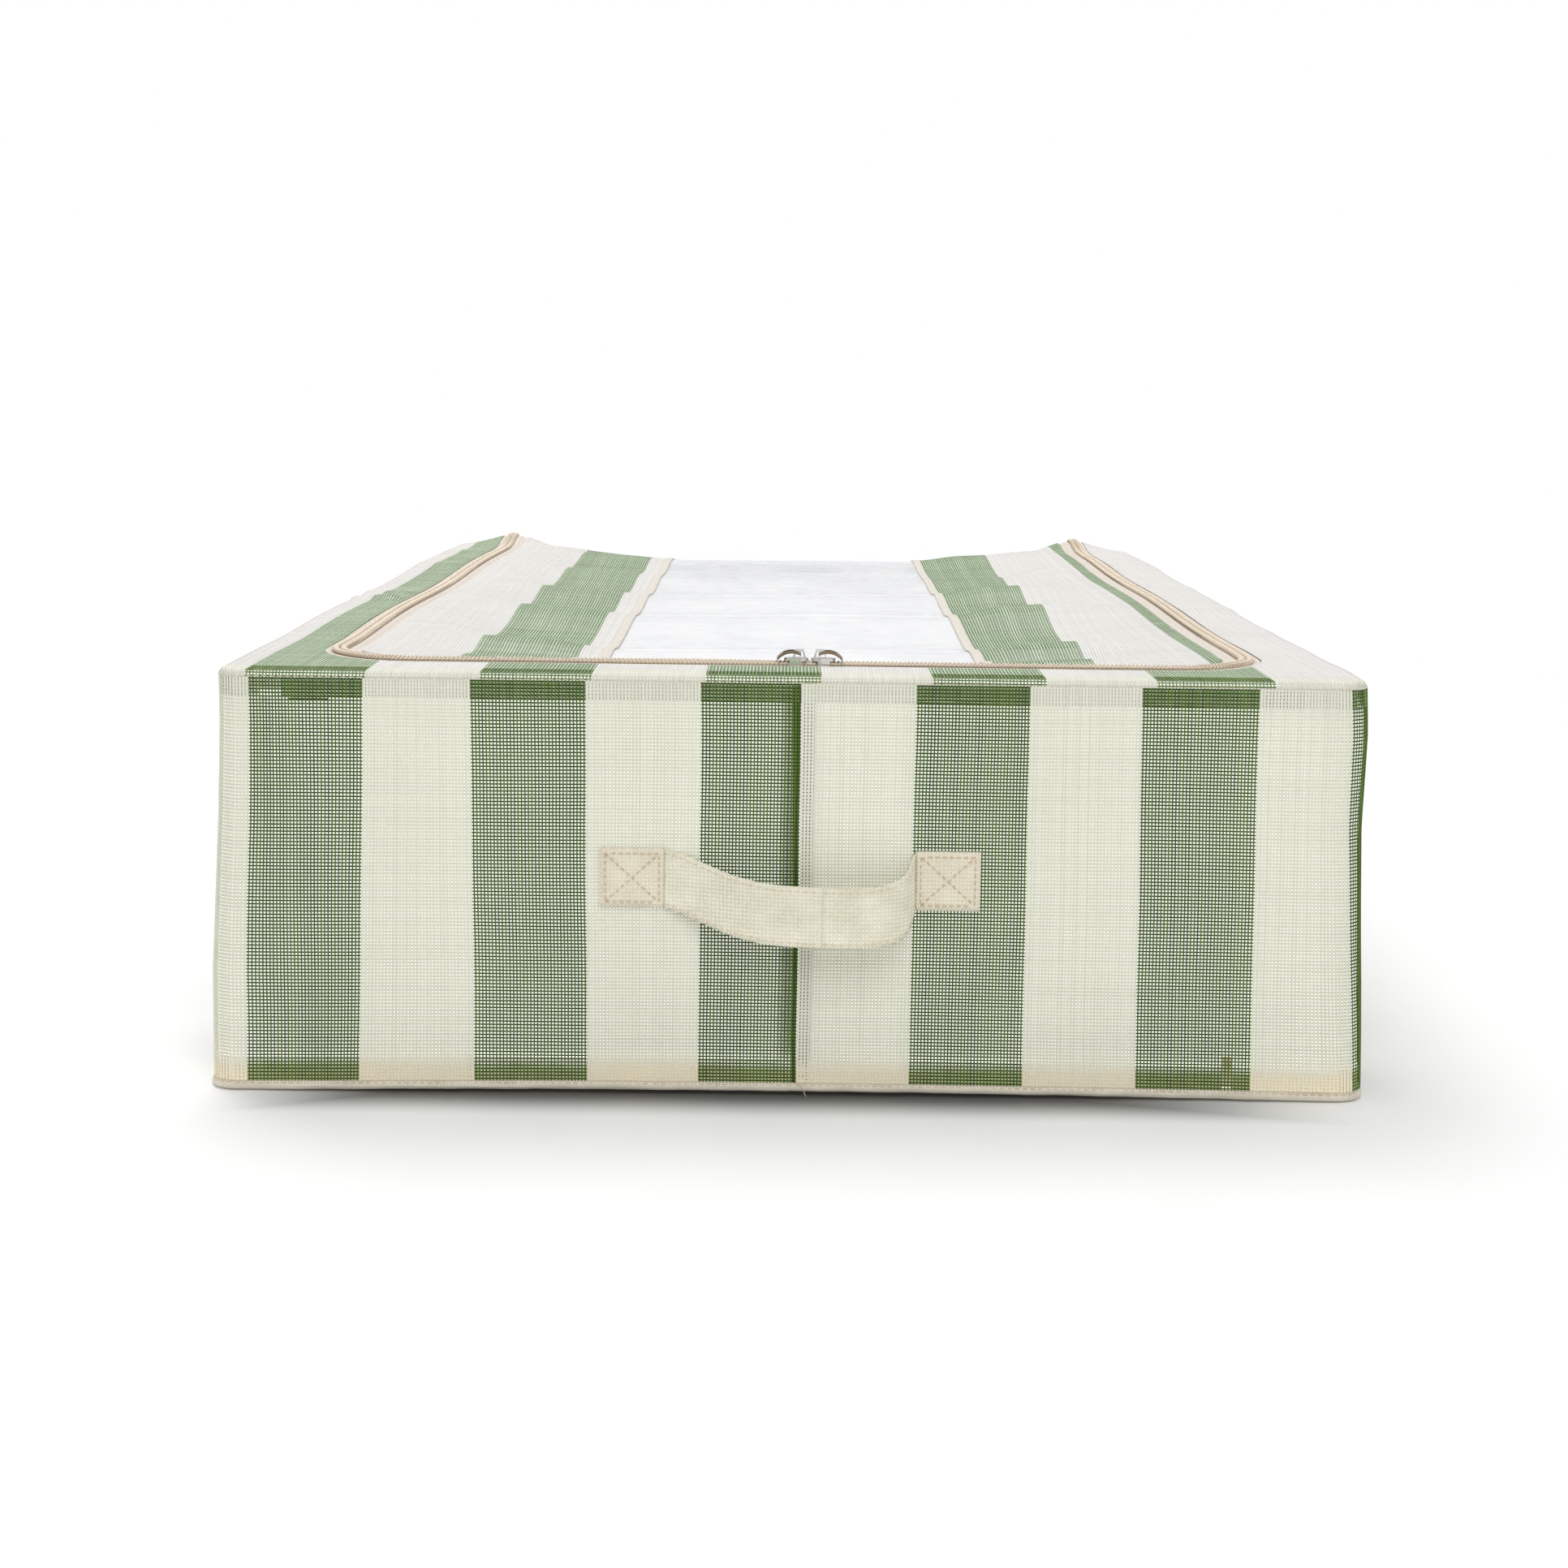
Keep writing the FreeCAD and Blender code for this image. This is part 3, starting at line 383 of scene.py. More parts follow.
def thread_finish(name, ends, stain):
    """Coated yarn: every thread its own shade, with slow soiling; stain tints it near the floor."""
    finish = Finish(name, 0.55, sheen=0.03)
    island = finish.node("ShaderNodeNewGeometry").outputs["Random Per Island"]
    patch = finish.noise(35 * MM, 3)
    share = finish.maths("ADD", finish.maths("MULTIPLY", island, 0.6), finish.maths("MULTIPLY", patch, 0.4))
    colour = finish.blend(share, *ends)
    if stain:
        colour = finish.blend(finish.height_ramp((22 * MM, FOOT), 12 * MM), colour, stain)
    finish.colour(colour)
    finish.shader.inputs["Specular IOR Level"].default_value = 0.15
    finish.bump(finish.noise(0.35 * MM, 2), 0.05 * MM)
    return finish.material


def woven_finish(name, ends, pitch, axes, depth, painted_glow, fade=None):
    """Plain weave, pitch and depth in mm, broken by slubs; fade is the heights where it pales out; its glow
    is painted light in its own colour.
    """
    finish = Finish(name, 0.75, sheen=0.2)
    pitch = pitch * MM
    weave = None
    for k, axis in enumerate(axes):
        band = finish.bands(axis, pitch, k * 1.3)
        weave = band if weave is None else finish.maths("MULTIPLY", weave, band)
    slub = finish.noise(pitch * 6, 4)
    share = finish.maths("ADD", finish.maths("MULTIPLY", weave, 0.55), finish.maths("MULTIPLY", slub, 0.5))
    colour = finish.blend(share, *ends)
    if fade:
        colour = finish.blend(finish.height_ramp(fade, 5 * MM), colour, (0.97, 0.97, 0.95))
    finish.colour(colour)
    finish.links.new(colour, finish.shader.inputs["Emission Color"])
    finish.shader.inputs["Emission Strength"].default_value = painted_glow
    finish.bump(weave, depth * MM)
    finish.bump(finish.noise(pitch * 0.7, 3), depth * 0.4 * MM)
    return finish.material


def plain_finish(name, ends, rough, grain, relief, metal=0.0, sheen=0.0, painted_glow=0.0):
    """Board, lining, metal or sewing thread: fine grain and soft mottling, with a glow that is painted light
    in the light end's colour.
    """
    finish = Finish(name, rough, metal=metal, sheen=sheen)
    patch = finish.noise(30 * MM, 3)
    fine = finish.noise(grain * MM, 3)
    share = finish.maths("ADD", finish.maths("MULTIPLY", patch, 0.5), finish.maths("MULTIPLY", fine, 0.5))
    finish.colour(finish.blend(share, *ends))
    finish.bump(fine, relief * MM)
    finish.shader.inputs["Emission Color"].default_value = linear(ends[1])
    finish.shader.inputs["Emission Strength"].default_value = painted_glow
    return finish.material


def film_finish():
    """Clear film a little milky, with softly darker patches that are painted reflection, growing opaque
    toward grazing view as painted reflection, and with rippled gloss.
    """
    finish = Finish("clear_film", 0.16)
    milk_and_reflection = finish.noise(55 * MM, 2, (1.6, 0.7, 1))
    finish.colour(finish.blend(milk_and_reflection, (0.95, 0.955, 0.985), (0.99, 0.992, 1.0)))
    finish.shader.inputs["Specular IOR Level"].default_value = 0.2
    # painted reflection: the film turns opaque and white toward grazing view
    facing = finish.node("ShaderNodeLayerWeight").outputs["Facing"]
    milk_and_reflection_alpha = finish.scaled(milk_and_reflection, 0.20, 0.36)
    finish.links.new(
        finish.maths("ADD", milk_and_reflection_alpha, finish.maths("MULTIPLY", finish.maths("POWER", facing, 3.0), 0.62)),
        finish.shader.inputs["Alpha"],
    )
    finish.bump(finish.noise(24 * MM, 1), 0.3 * MM)
    return finish.material


# dark and light end, pitch in mm, axes of the bands, relief in mm, painted glow, heights where it pales out
WOVEN = {
    "seam_fold": (((0.16, 0.24, 0.08), (0.42, 0.52, 0.30)), 1.5, "XZ", 0.25, 0.1),
    # the hems glow as painted light, brighter than they would be in the shade of the threads over them
    "cream_hem": (((0.84, 0.79, 0.66), (0.95, 0.91, 0.80)), 0.9, "XYZ", 0.25, 0.4, HEM_FADE),
    "green_hem": (((0.66, 0.68, 0.52), (0.88, 0.89, 0.78)), 0.9, "XYZ", 0.25, 0.45, HEM_FADE),
    "shade": (((0.10, 0.12, 0.08), (0.30, 0.32, 0.26)), 1.5, "XZ", 0.25, 0.0),
    # canvas, webbing and patch glow faintly as painted light
    "canvas": (((0.66, 0.63, 0.57), (0.93, 0.91, 0.85)), 1.5, "XYZ", 0.35, 0.2),
    "webbing": (((0.74, 0.72, 0.62), (1.0, 0.99, 0.93)), 1.7, "XZ", 0.5, 0.12),
    "patch": (((0.78, 0.74, 0.65), (0.97, 0.95, 0.88)), 1.7, "XZ", 0.4, 0.08),
    "binding": (((0.76, 0.73, 0.69), (0.86, 0.84, 0.80)), 0.6, "XY", 0.12, 0.0),
    "tape": (((0.76, 0.72, 0.68), (0.86, 0.82, 0.78)), 0.7, "XY", 0.12, 0.0),
    # the label glows as painted light so it doesn't go dark in front of the glowing boards
    "label": (((0.74, 0.70, 0.60), (0.90, 0.86, 0.77)), 0.5, "XZ", 0.08, 0.5),
}
# dark and light end, roughness, grain and relief in mm, then metal, sheen or painted glow
PLAIN = {
    # slot: a grey sheet standing in for the shade seen through the open seam, with a faint painted glow
    "slot": (((0.34, 0.37, 0.40), (0.66, 0.71, 0.77)), 0.8, 4.0, 0.05, {"painted_glow": 0.1}),
    "coil": (((0.76, 0.70, 0.62), (0.87, 0.82, 0.74)), 0.38, 1.2, 0.03, {}),
    "thread": (((0.70, 0.58, 0.42), (0.86, 0.76, 0.62)), 0.6, 0.4, 0.05, {"sheen": 0.2}),
    "pale_thread": (((0.80, 0.74, 0.64), (0.90, 0.85, 0.76)), 0.6, 0.4, 0.05, {"sheen": 0.2}),
    # boards and lining glow as painted light so they show white through the mesh holes
    "board": (((0.92, 0.92, 0.90), (0.98, 0.98, 0.97)), 0.7, 2.5, 0.04, {"painted_glow": 0.6}),
    "lining": (((0.90, 0.90, 0.89), (0.97, 0.97, 0.96)), 0.8, 0.8, 0.06, {"painted_glow": 0.12}),
    "nickel": (((0.84, 0.83, 0.82), (0.97, 0.96, 0.95)), 0.22, 0.9, 0.01, {"metal": 1.0}),
    "brass": (((0.42, 0.36, 0.28), (0.70, 0.62, 0.50)), 0.3, 0.7, 0.02, {"metal": 1.0}),
}
FINISH = {"film": film_finish()}
for name, ends in THREAD_COLOURS.items():
    FINISH[name] = thread_finish(name, ends, STAIN if name.startswith("cream") else None)
FINISH |= {name: woven_finish(name, *how) for name, how in WOVEN.items()}
FINISH |= {name: plain_finish(name, *how, **extra) for name, (*how, extra) in PLAIN.items()}


# ==== the box's shape as surfaces
def ring(half, low, high, radius):
    """A closed route round a rectangle, from the middle of its front."""
    corners = [(0, low), (half, low), (half, high), (-half, high), (-half, low), (0, low)]
    return Route(corners, radius, closed=True)


wall_route = ring(HALF_W, -HALF_L, HALF_L, CORNER)
chain_route = Route(
    [(-CHAIN_X, CHAIN_END), (-CHAIN_X, CHAIN_Y), (CHAIN_X, CHAIN_Y), (CHAIN_X, CHAIN_END)],
    CHAIN_CORNER,
)

# puckers across the side borders: place along Y in m, side, height and reach in mm
PUCKERS = (
    (-0.095, -1, 4.0, 9),
    (-0.060, -1, 2.5, 12),
    (0.120, -1, 2.0, 16),
    (0.240, -1, 2.0, 14),
    (-0.215, 1, 2.0, 16),
    (-0.110, 1, 2.5, 13),
    (0.020, 1, 2.2, 15),
    (0.160, 1, 2.0, 18),
)

# how far each side stands out of plumb, at shares of the height
FLARE_UP = (0.0, 0.28, 0.66, 0.88, 1.0)
LEFT_FLARE = np.array([5.5, 5.0, 0.3, -1.6, -1.8]) * MM
RIGHT_FLARE = np.array([4.6, 2.2, -2.0, -1.6, -3.0]) * MM


def settle(p):
    """The soft box's slouch: leaning sides, sagging back, raised zip ends and a bowed front foot."""
    x, y, z = p[..., 0], p[..., 1], p[..., 2]
    up = np.clip(z / TOP, 0, 1.1)
    edge = smooth((np.abs(x) - CHAIN_X) / (HALF_W - CHAIN_X))
    rear = smooth((y - 0.31) / 0.09)
    lift = -BACK_SAG * rear * (1 - 0.4 * edge)
    lift -= MIDDLE_SAG * smooth((y - 0.30) / 0.05) * smooth((0.20 - np.abs(x)) / 0.05)
    lift += ZIP_END_RISE * hump(np.abs(x) - CHAIN_X, 24 * MM) * hump(y - CHAIN_END, 30 * MM)
    on_top = smooth((z - SEAM_Z + 12 * MM) / (12 * MM))
    beside = smooth((np.abs(x) - CHAIN_X - 8 * MM) / (9 * MM)) * (1 - 0.75 * edge)
    for place, side, height, reach in PUCKERS:
        lean = 0.25 * (np.abs(x) - CHAIN_X)
        lift += height * MM * on_top * beside * (np.sign(x) == side) * hump(y - place - lean, reach * MM)
    sides = smooth((y - CHAIN_Y - 30 * MM) / (60 * MM)) * smooth((np.abs(x) - 0.15) / 0.04)
    lift += 0.9 * MM * on_top * sides * drift(y, x, 0.16, 3)
    foot = FRONT_BOW * (1 - (x / HALF_W) ** 2) * (1 - up) * smooth((-y - 0.3) / 0.1)
    sway = 1.2 * MM * on_top * sides * drift(y, x, 0.21, 8)
    flare = np.where(x < 0, -np.interp(up, FLARE_UP, LEFT_FLARE), np.interp(up, FLARE_UP, RIGHT_FLARE))
    flare += np.where(x > 0, 2.5 * MM, 0) * hump(y + HALF_L - 40 * MM, 35 * MM)
    toe = TOE * (1 - np.minimum(up, 1)) ** 4 * smooth((-x - 0.08) / 0.15) * smooth((-y - 0.3) / 0.1)
    return points(x + flare * edge + sway, y - toe, z + lift * up + foot)


def wall(s, z, out=0.0):
    """The upright cloth at length s round the box and height z."""
    s, z = np.broadcast_arrays(s, z)
    up = z / TOP
    s = s - 4.2 * MM * up * smooth((s - 0.06) / 0.09) * smooth((0.33 - s) / 0.08)
    s = s + (4.9 * up - 1.5) * MM * hump(s + 0.187, 0.03) + 2.4 * MM * hump(s + 0.24, 0.02)
    s = s + 0.35 * MM * drift(s, z, 0.09, 1)
    inner = smooth((z - FOOT) / (20 * MM)) * smooth((SEAM_Z - z) / (20 * MM))
    z = z + 0.3 * MM * drift(s, z, 0.11, 2) * inner
    x, y = wall_route.at(s, out)
    nx, ny = wall_route.at(s, out + 1.0)
    give = 0.45 * MM * drift(s, z, 0.13, 5) * np.sin(math.pi * np.clip(z / TOP, 0, 1))
    return settle(points(x + give * (nx - x), y + give * (ny - y), z))


def rolled(c, half):
    """Plan place of a point c metres along cloth that runs over a rolled edge at half."""
    flat = half - ROLL
    turn = np.clip((np.abs(c) - flat) / ROLL, 0, math.pi / 2)
    return np.sign(c) * np.where(np.abs(c) > flat, flat + ROLL * np.sin(turn), np.abs(c))


def rounded(x, y):
    """Plan place pulled inside the box's round corners."""
    a = np.maximum(np.abs(x) - HALF_W + CORNER, 0)
    b = np.maximum(np.abs(y) - HALF_L + CORNER, 0)
    round_a = a * np.sqrt(1 - b * b / (2 * CORNER**2))
    round_b = b * np.sqrt(1 - a * a / (2 * CORNER**2))
    return x + np.sign(x) * (round_a - a), y + np.sign(y) * (round_b - b)


def border(cx, cy, out=0.0):
    """The top border and its rolled rim at a place measured along the cloth."""
    cx, cy = np.broadcast_arrays(cx, cy)
    cx = cx + 0.35 * MM * drift(cx, cy, 0.09, 4)
    cy = cy + 0.3 * MM * drift(cx, cy, 0.12, 6)
    x, y = rounded(rolled(cx, HALF_W), rolled(cy, HALF_L))
    a = np.abs(x) - HALF_W + CORNER
    b = np.abs(y) - HALF_L + CORNER
    reach = np.where((a > 0) & (b > 0), np.hypot(a, b), np.maximum(a, b))
    over = np.clip(reach - CORNER + ROLL, 0, ROLL) / ROLL
    rise = np.sqrt(1 - over**2)
    push = out * over / np.maximum(reach, MM)
    x = x + np.sign(x) * push * np.maximum(a, 0)
    y = y + np.sign(y) * push * np.maximum(b, 0)
    return settle(points(x, y, TOP - ROLL + (ROLL + out) * rise))


CLOTH_HALF_W = HALF_W - ROLL + ROLL * math.pi / 2
CLOTH_HALF_L = HALF_L - ROLL + ROLL * math.pi / 2

# lid ripples: place along Y in m, height, reach in front and behind in mm, slant, share shown left and right
RIPPLES = (
    (-0.326, 9.0, 14, 10, 0.10, 1.0, 0.3),
    (-0.257, 9.0, 42, 20, 0.02, 0.78, 0.85),
    (-0.098, 9.5, 60, 24, 0.03, 0.66, 1.0),
    (0.024, 8.5, 55, 24, 0.09, 0.74, 0.9),
    (0.150, 7.0, 50, 26, -0.04, 0.55, 0.4),
    (0.284, 6.5, 70, 34, 0.0, 0.65, 1.0),
)
CLOTH = {
    "quality": 8,
    "mass": 0.12,
    "tension_stiffness": 25,
    "compression_stiffness": 25,
    "shear_stiffness": 8,
    "bending_stiffness": 1.5,
    "shrink_min": -0.003,
    "vertex_group_mass": "held",
}
GRAVITY_SHARE = 0.25
LID_STEP = 9 * MM
SIM_FRAMES = 20
SIM_CAP = 5 * MM


def lid_seed(x, y):
    """The lid before it is simulated: flat at the zip, with slack thrown into crests across it."""
    lift = np.zeros(np.broadcast(x, y).shape)
    for place, height, ahead, behind, slant, left, right in RIPPLES:
        offset = y - place - slant * x - 6 * MM * drift(x, y, 0.17, place * 40)
        reach = np.where(offset < 0, ahead, behind) * MM
        share = left + (right - left) * smooth((x + 0.05) / 0.1)
        lift += height * MM * share * hump(offset, reach)
    inside = smooth((LID_HIGH.x - np.abs(x)) / (60 * MM))
    film = 1 - 0.68 * smooth((BINDING_HIGH.x + 30 * MM - np.abs(x)) / (36 * MM))
    ends = smooth((y - LID_LOW.y) / (40 * MM)) * smooth((LID_HIGH.y - y) / (50 * MM))
    dip = -4 * MM * smooth((LID_HIGH.x - np.abs(x)) / (90 * MM)) * ends
    tuck = -3.4 * MM * hump(y - LID_LOW.y - 13 * MM, 10 * MM)
    tuck = tuck * smooth((LID_HIGH.x - 30 * MM - np.abs(x)) / (30 * MM))
    return settle(points(x, y, TOP)) + points(0, 0, (lift * film * inside + dip) * ends + tuck)


def simulate_lid():
    """The seeded sheet let go under its own weight, held at its rim, as a grid of points."""
    columns = int(round((LID_HIGH.x - LID_LOW.x) / LID_STEP)) + 1
    rows = int(round((LID_HIGH.y - LID_LOW.y) / LID_STEP)) + 1
    x, y = spread(LID_LOW, LID_HIGH, (columns, rows))
    seed = lid_seed(x, y)
    sheet = mesh_object("lid_sheet", [(seed, grid_quads(columns, rows))], FINISH["film"])
    i = np.arange(columns * rows).reshape(columns, rows)
    held = np.concatenate([i[0], i[-1], i[:, 0], i[:, -1]])
    sheet.vertex_groups.new(name="held").add(held.tolist(), 1.0, "REPLACE")
    cloth = sheet.modifiers.new("cloth", "CLOTH")
    for key, value in CLOTH.items():
        setattr(cloth.settings, key, value)
    cloth.settings.effector_weights.gravity = GRAVITY_SHARE
    cloth.point_cache.frame_end = SIM_FRAMES
    for step in range(1, SIM_FRAMES + 1):
        bpy.context.scene.frame_set(step)
    shown = sheet.evaluated_get(bpy.context.evaluated_depsgraph_get())
    found = np.zeros(columns * rows * 3)
    shown.data.vertices.foreach_get("co", found)
    bpy.context.scene.frame_set(1)
    bpy.data.objects.remove(sheet)
    moved = found.reshape(seed.shape) - seed
    size = np.maximum(np.linalg.norm(moved, axis=-1, keepdims=True), 1e-9)
    free = smooth((LID_HIGH.x - 6 * MM - np.abs(x)) / (50 * MM))
    free = free * smooth((y - LID_LOW.y - 14 * MM) / (45 * MM))
    return seed + moved * np.minimum(1, SIM_CAP / size) * free[..., None]


LID_GRID = simulate_lid()


def catmull(t):
    """Weights of the four neighbours at share t."""
    return np.stack(
        [-t + 2 * t**2 - t**3, 2 - 5 * t**2 + 3 * t**3, t + 4 * t**2 - 3 * t**3, -(t**2) + t**3], axis=-1
    ) / 2


def lid(x, y, out=0.0):
    """The simulated lid at a plan place, as a smooth surface."""
    x, y = np.broadcast_arrays(x, y)
    x = x + 0.35 * MM * drift(x, y, 0.09, 7)
    columns, rows = LID_GRID.shape[:2]
    u = np.clip((x - LID_LOW.x) / (LID_HIGH.x - LID_LOW.x), 0, 1) * (columns - 1)
    v = np.clip((y - LID_LOW.y) / (LID_HIGH.y - LID_LOW.y), 0, 1) * (rows - 1)
    i, j = np.minimum(u.astype(int), columns - 2), np.minimum(v.astype(int), rows - 2)
    weight_u, weight_v = catmull(u - i), catmull(v - j)
    total = np.zeros(x.shape + (3,))
    for a in range(4):
        for b in range(4):
            near = LID_GRID[np.clip(i + a - 1, 0, columns - 1), np.clip(j + b - 1, 0, rows - 1)]
            total += (weight_u[..., a] * weight_v[..., b])[..., None] * near
    total[..., 2] += out
    return total


# ==== striped mesh, thread by thread
def runs(edges, start, stop, first):
    """(low, high, colour) of the stripes between start and stop; first is the colour below the first edge."""
    cuts = [start] + [e for e in sorted(edges) if start < e < stop] + [stop]
    skipped = sum(e <= start for e in edges)
    names = ("cream", "green") if first == "cream" else ("green", "cream")
    return [(a, b, names[(k + skipped) % 2]) for k, (a, b) in enumerate(zip(cuts, cuts[1:]))]


def strands(surface, segments, step, along_b, width, material_chunks):
    """Ribbons along straight cloth runs (a0, b0, a1, b1), grouped by point count."""
    segments = np.array(segments)
    if not len(segments):
        return
    length = np.abs(segments[:, 2:] - segments[:, :2]).max(axis=1)
    count = np.maximum(2, np.ceil(length / step).astype(int) + 1)
    for points_each in np.unique(count):
        group = segments[count == points_each]
        t = np.linspace(0, 1, points_each)
        a = group[:, 0:1] + (group[:, 2:3] - group[:, 0:1]) * t
        b = group[:, 1:2] + (group[:, 3:4] - group[:, 1:2]) * t
        e = 0.2 * MM
        line = surface(a, b)
        toward_a = unit(surface(a + e, b) - surface(a - e, b))
        toward_b = unit(surface(a, b + e) - surface(a, b - e))
        up = unit(np.cross(toward_a, toward_b))
        across = toward_a if along_b else toward_b
        lift = RIDGE * 0.5 if along_b else 0.0
        material_chunks.append(ribbons(line + up * lift, across, up, width, RIDGE))


def weave(name, surface, stripes, warp_cuts, weft_cuts, span, step, body, nodes, shade="", blend=None):
    """Warp threads at constant a cut by warp_cuts(a), weft threads at constant b cut by weft_cuts(b); shade
    prefixes the thread colours with top_ for the copy painted lighter by light from above, or rim_ for the
    copy painted for shade.
    """
    chunks = {}
    for low, high, colour in stripes:
        warp, weft = [], []
        count = max(1, int(round((high - low) / WARP_PITCH)))
        for a in low + (np.arange(count) + 0.5) * (high - low) / count:
            warp += [(a, b0, a, b1) for b0, b1 in warp_cuts(a)]
        for b in np.arange(span[0] + WEFT_PITCH / 2, span[1], WEFT_PITCH):
            for a0, a1 in weft_cuts(b):
                a0, a1 = max(a0, low), min(a1, high)
                if a1 - a0 > MM:
                    weft.append((a0, b, a1, b))
        strands(surface, warp, step, True, THREAD[colour], chunks.setdefault(colour + "_warp", []))
        strands(surface, weft, step, False, THREAD[colour], chunks.setdefault(colour + "_weft", []))
    for key, parts in chunks.items():
        add_piece(name + "_" + key, parts, shade + key, body, nodes, blend)


half_round = wall_route.length / 2
RIGHT_PITCH, LEFT_PITCH = 50.3 * MM, 49.4 * MM
RIGHT_FIRST, LEFT_FIRST = 53.3 * MM, -39.3 * MM
SIDE_SHIFT = 9 * MM
EDGES = 27
right_edges = [RIGHT_FIRST + RIGHT_PITCH * k - (SIDE_SHIFT if k > 3 else 0) for k in range(EDGES)]
left_edges = [LEFT_FIRST - LEFT_PITCH * k for k in range(EDGES + 1)]
SIDES = {
    "left": runs(left_edges, -half_round - SEAM_X, SEAM_X, "green"),
    "right": runs(right_edges, SEAM_X, half_round - SEAM_X, "cream"),
}
for side, stripes in SIDES.items():
    weave(
        "wall_" + side, wall, stripes, lambda s: [(FOOT, SEAM_Z)], lambda z: [(-half_round, half_round)],
        (FOOT, SEAM_Z), 7 * MM, "box", ["wall_" + side],
    )

OPENING = CHAIN_X + 7 * MM
OPENING_BACK = HALF_L - 34 * MM
OPENING_FRONT = -OPENING_BACK
OPENING_ROUND = 47 * MM
LID_ROUND = 29 * MM


def round_corner(across, half, radius):
    """How far a front corner's curve has come back at this distance from the middle."""
    inner = np.clip(abs(across) - half + radius, 0, radius)
    return radius - math.sqrt(radius**2 - inner**2)


def within(parts, low, high):
    """Cuts kept between low and high."""
    return [(max(a, low), min(b, high)) for a, b in parts if min(b, high) - max(a, low) > MM]


def border_warp(x):
    if abs(x) >= OPENING:
        return [(-CLOTH_HALF_L, CLOTH_HALF_L)]
    front = OPENING_FRONT + round_corner(x, OPENING, OPENING_ROUND)
    return [(-CLOTH_HALF_L, front), (OPENING_BACK, CLOTH_HALF_L)]


def border_weft(y):
    if y <= OPENING_FRONT or y >= OPENING_BACK:
        return [(-CLOTH_HALF_W, CLOTH_HALF_W)]
    inner = np.clip(OPENING_FRONT + OPENING_ROUND - y, 0, OPENING_ROUND)
    half = OPENING - OPENING_ROUND + math.sqrt(OPENING_ROUND**2 - inner**2)
    return [(-CLOTH_HALF_W, -half), (half, CLOTH_HALF_W)]


BORDER_EDGES = [e * MM for e in (-236, -183, -134, -86, -37, 12.5, 60, 109, 156, 207)]
border_stripes = runs(BORDER_EDGES, -CLOTH_HALF_W, CLOTH_HALF_W, "cream")
# The border's front strip near the roll takes the rim_ threads, painted darker for its shade, and the rest
# takes the top_ threads, painted lighter for the light from above.
SHADED_RIM = -HALF_L + 14 * MM
for name, low, high, shade, step in (
    ("border_front", -CLOTH_HALF_L, SHADED_RIM, "rim_", 0.9 * MM),
    ("border", SHADED_RIM, CLOTH_HALF_L, "top_", 2 * MM),
):
    cuts = lambda x, low=low, high=high: within(border_warp(x), low, high)
    weave(name, border, border_stripes, cuts, border_weft, (low, high), step, "box", ["top_border"], shade)

BIND_HALF = 2.5 * MM
BIND_MID = BINDING_HIGH.x - BIND_HALF
bind_front, bind_back = BINDING_LOW.y + BIND_HALF, BINDING_HIGH.y - BIND_HALF


def lid_warp(x):
    front = LID_LOW.y + round_corner(x, LID_HIGH.x, LID_ROUND)
    if abs(x) < BIND_MID:
        return [(front, bind_front), (bind_back, LID_HIGH.y)]
    return [(front, LID_HIGH.y)]


def lid_weft(y):
    inner = np.clip(LID_LOW.y + LID_ROUND - y, 0, LID_ROUND)
    half = LID_HIGH.x - LID_ROUND + math.sqrt(LID_ROUND**2 - inner**2)
    if bind_front < y < bind_back:
        return [(-half, -BIND_MID), (BIND_MID, half)]
    return [(-half, half)]


LID_EDGES = [e * MM for e in (-151, -102, -38, 26, 90, 139, 190)]
lid_stripes = runs(LID_EDGES, LID_LOW.x, LID_HIGH.x, "cream")
hinge_blend = ("box", "lid", (0, LID_HIGH.y + 1 * MM, TOP), (0, CHAIN_END - 1 * MM, TOP))
# The lid takes the top_ threads, painted lighter for the light from above.
weave(
    "lid", lid, lid_stripes, lid_warp, lid_weft,
    (LID_LOW.y, LID_HIGH.y), 4.5 * MM, "lid", ["lid_panel"], "top_", hinge_blend,
)


# ==== folds and seam allowances behind the mesh
def strip(surface, a, b, out_high, out_low):
    """A thin sheet on a surface: places a by places b, where b may differ from row to row."""
    a, b = np.broadcast_arrays(np.asarray(a)[:, None], np.atleast_2d(b))
    return slab(surface(a, b, out_high), surface(a, b, out_low))


def behind(s, z):
    """The walls' turned edges, a second layer of mesh just behind the first."""
    return wall(s + 0.7 * MM + 0.03 * (SEAM_Z - z), z, -0.5 * MM)


BAND_GAPS = ((-238 * MM, -222 * MM), (206 * MM, 223 * MM))
LABEL_SPAN = (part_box("blank_label")[0].x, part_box("blank_label")[1].x)


def top_allowance(s):
    if any(low < s < high for low, high in BAND_GAPS):
        return []
    ragged = 1.0 * MM * float(drift(s, 0.0, 0.05, 2)) + 1.6 * MM * float(hump(s + 211 * MM, 9 * MM))
    return [(SEAM_Z - 7.8 * MM - ragged, SEAM_Z)]


def top_allowance_weft(z):
    if z < SEAM_Z - 8 * MM:
        return [(-219 * MM, -203 * MM)]
    ends = [-half_round] + [end for gap in BAND_GAPS for end in gap] + [half_round]
    return list(zip(ends[::2], ends[1::2]))


# The seam allowances take the top_ threads, painted lighter than the wall threads they are cut from.
for side, stripes in SIDES.items():
    weave(
        "seam_allowance_" + side, behind, stripes, top_allowance, top_allowance_weft,
        (SEAM_Z - 10 * MM, SEAM_Z), 5 * MM, "box", [], "top_",
    )

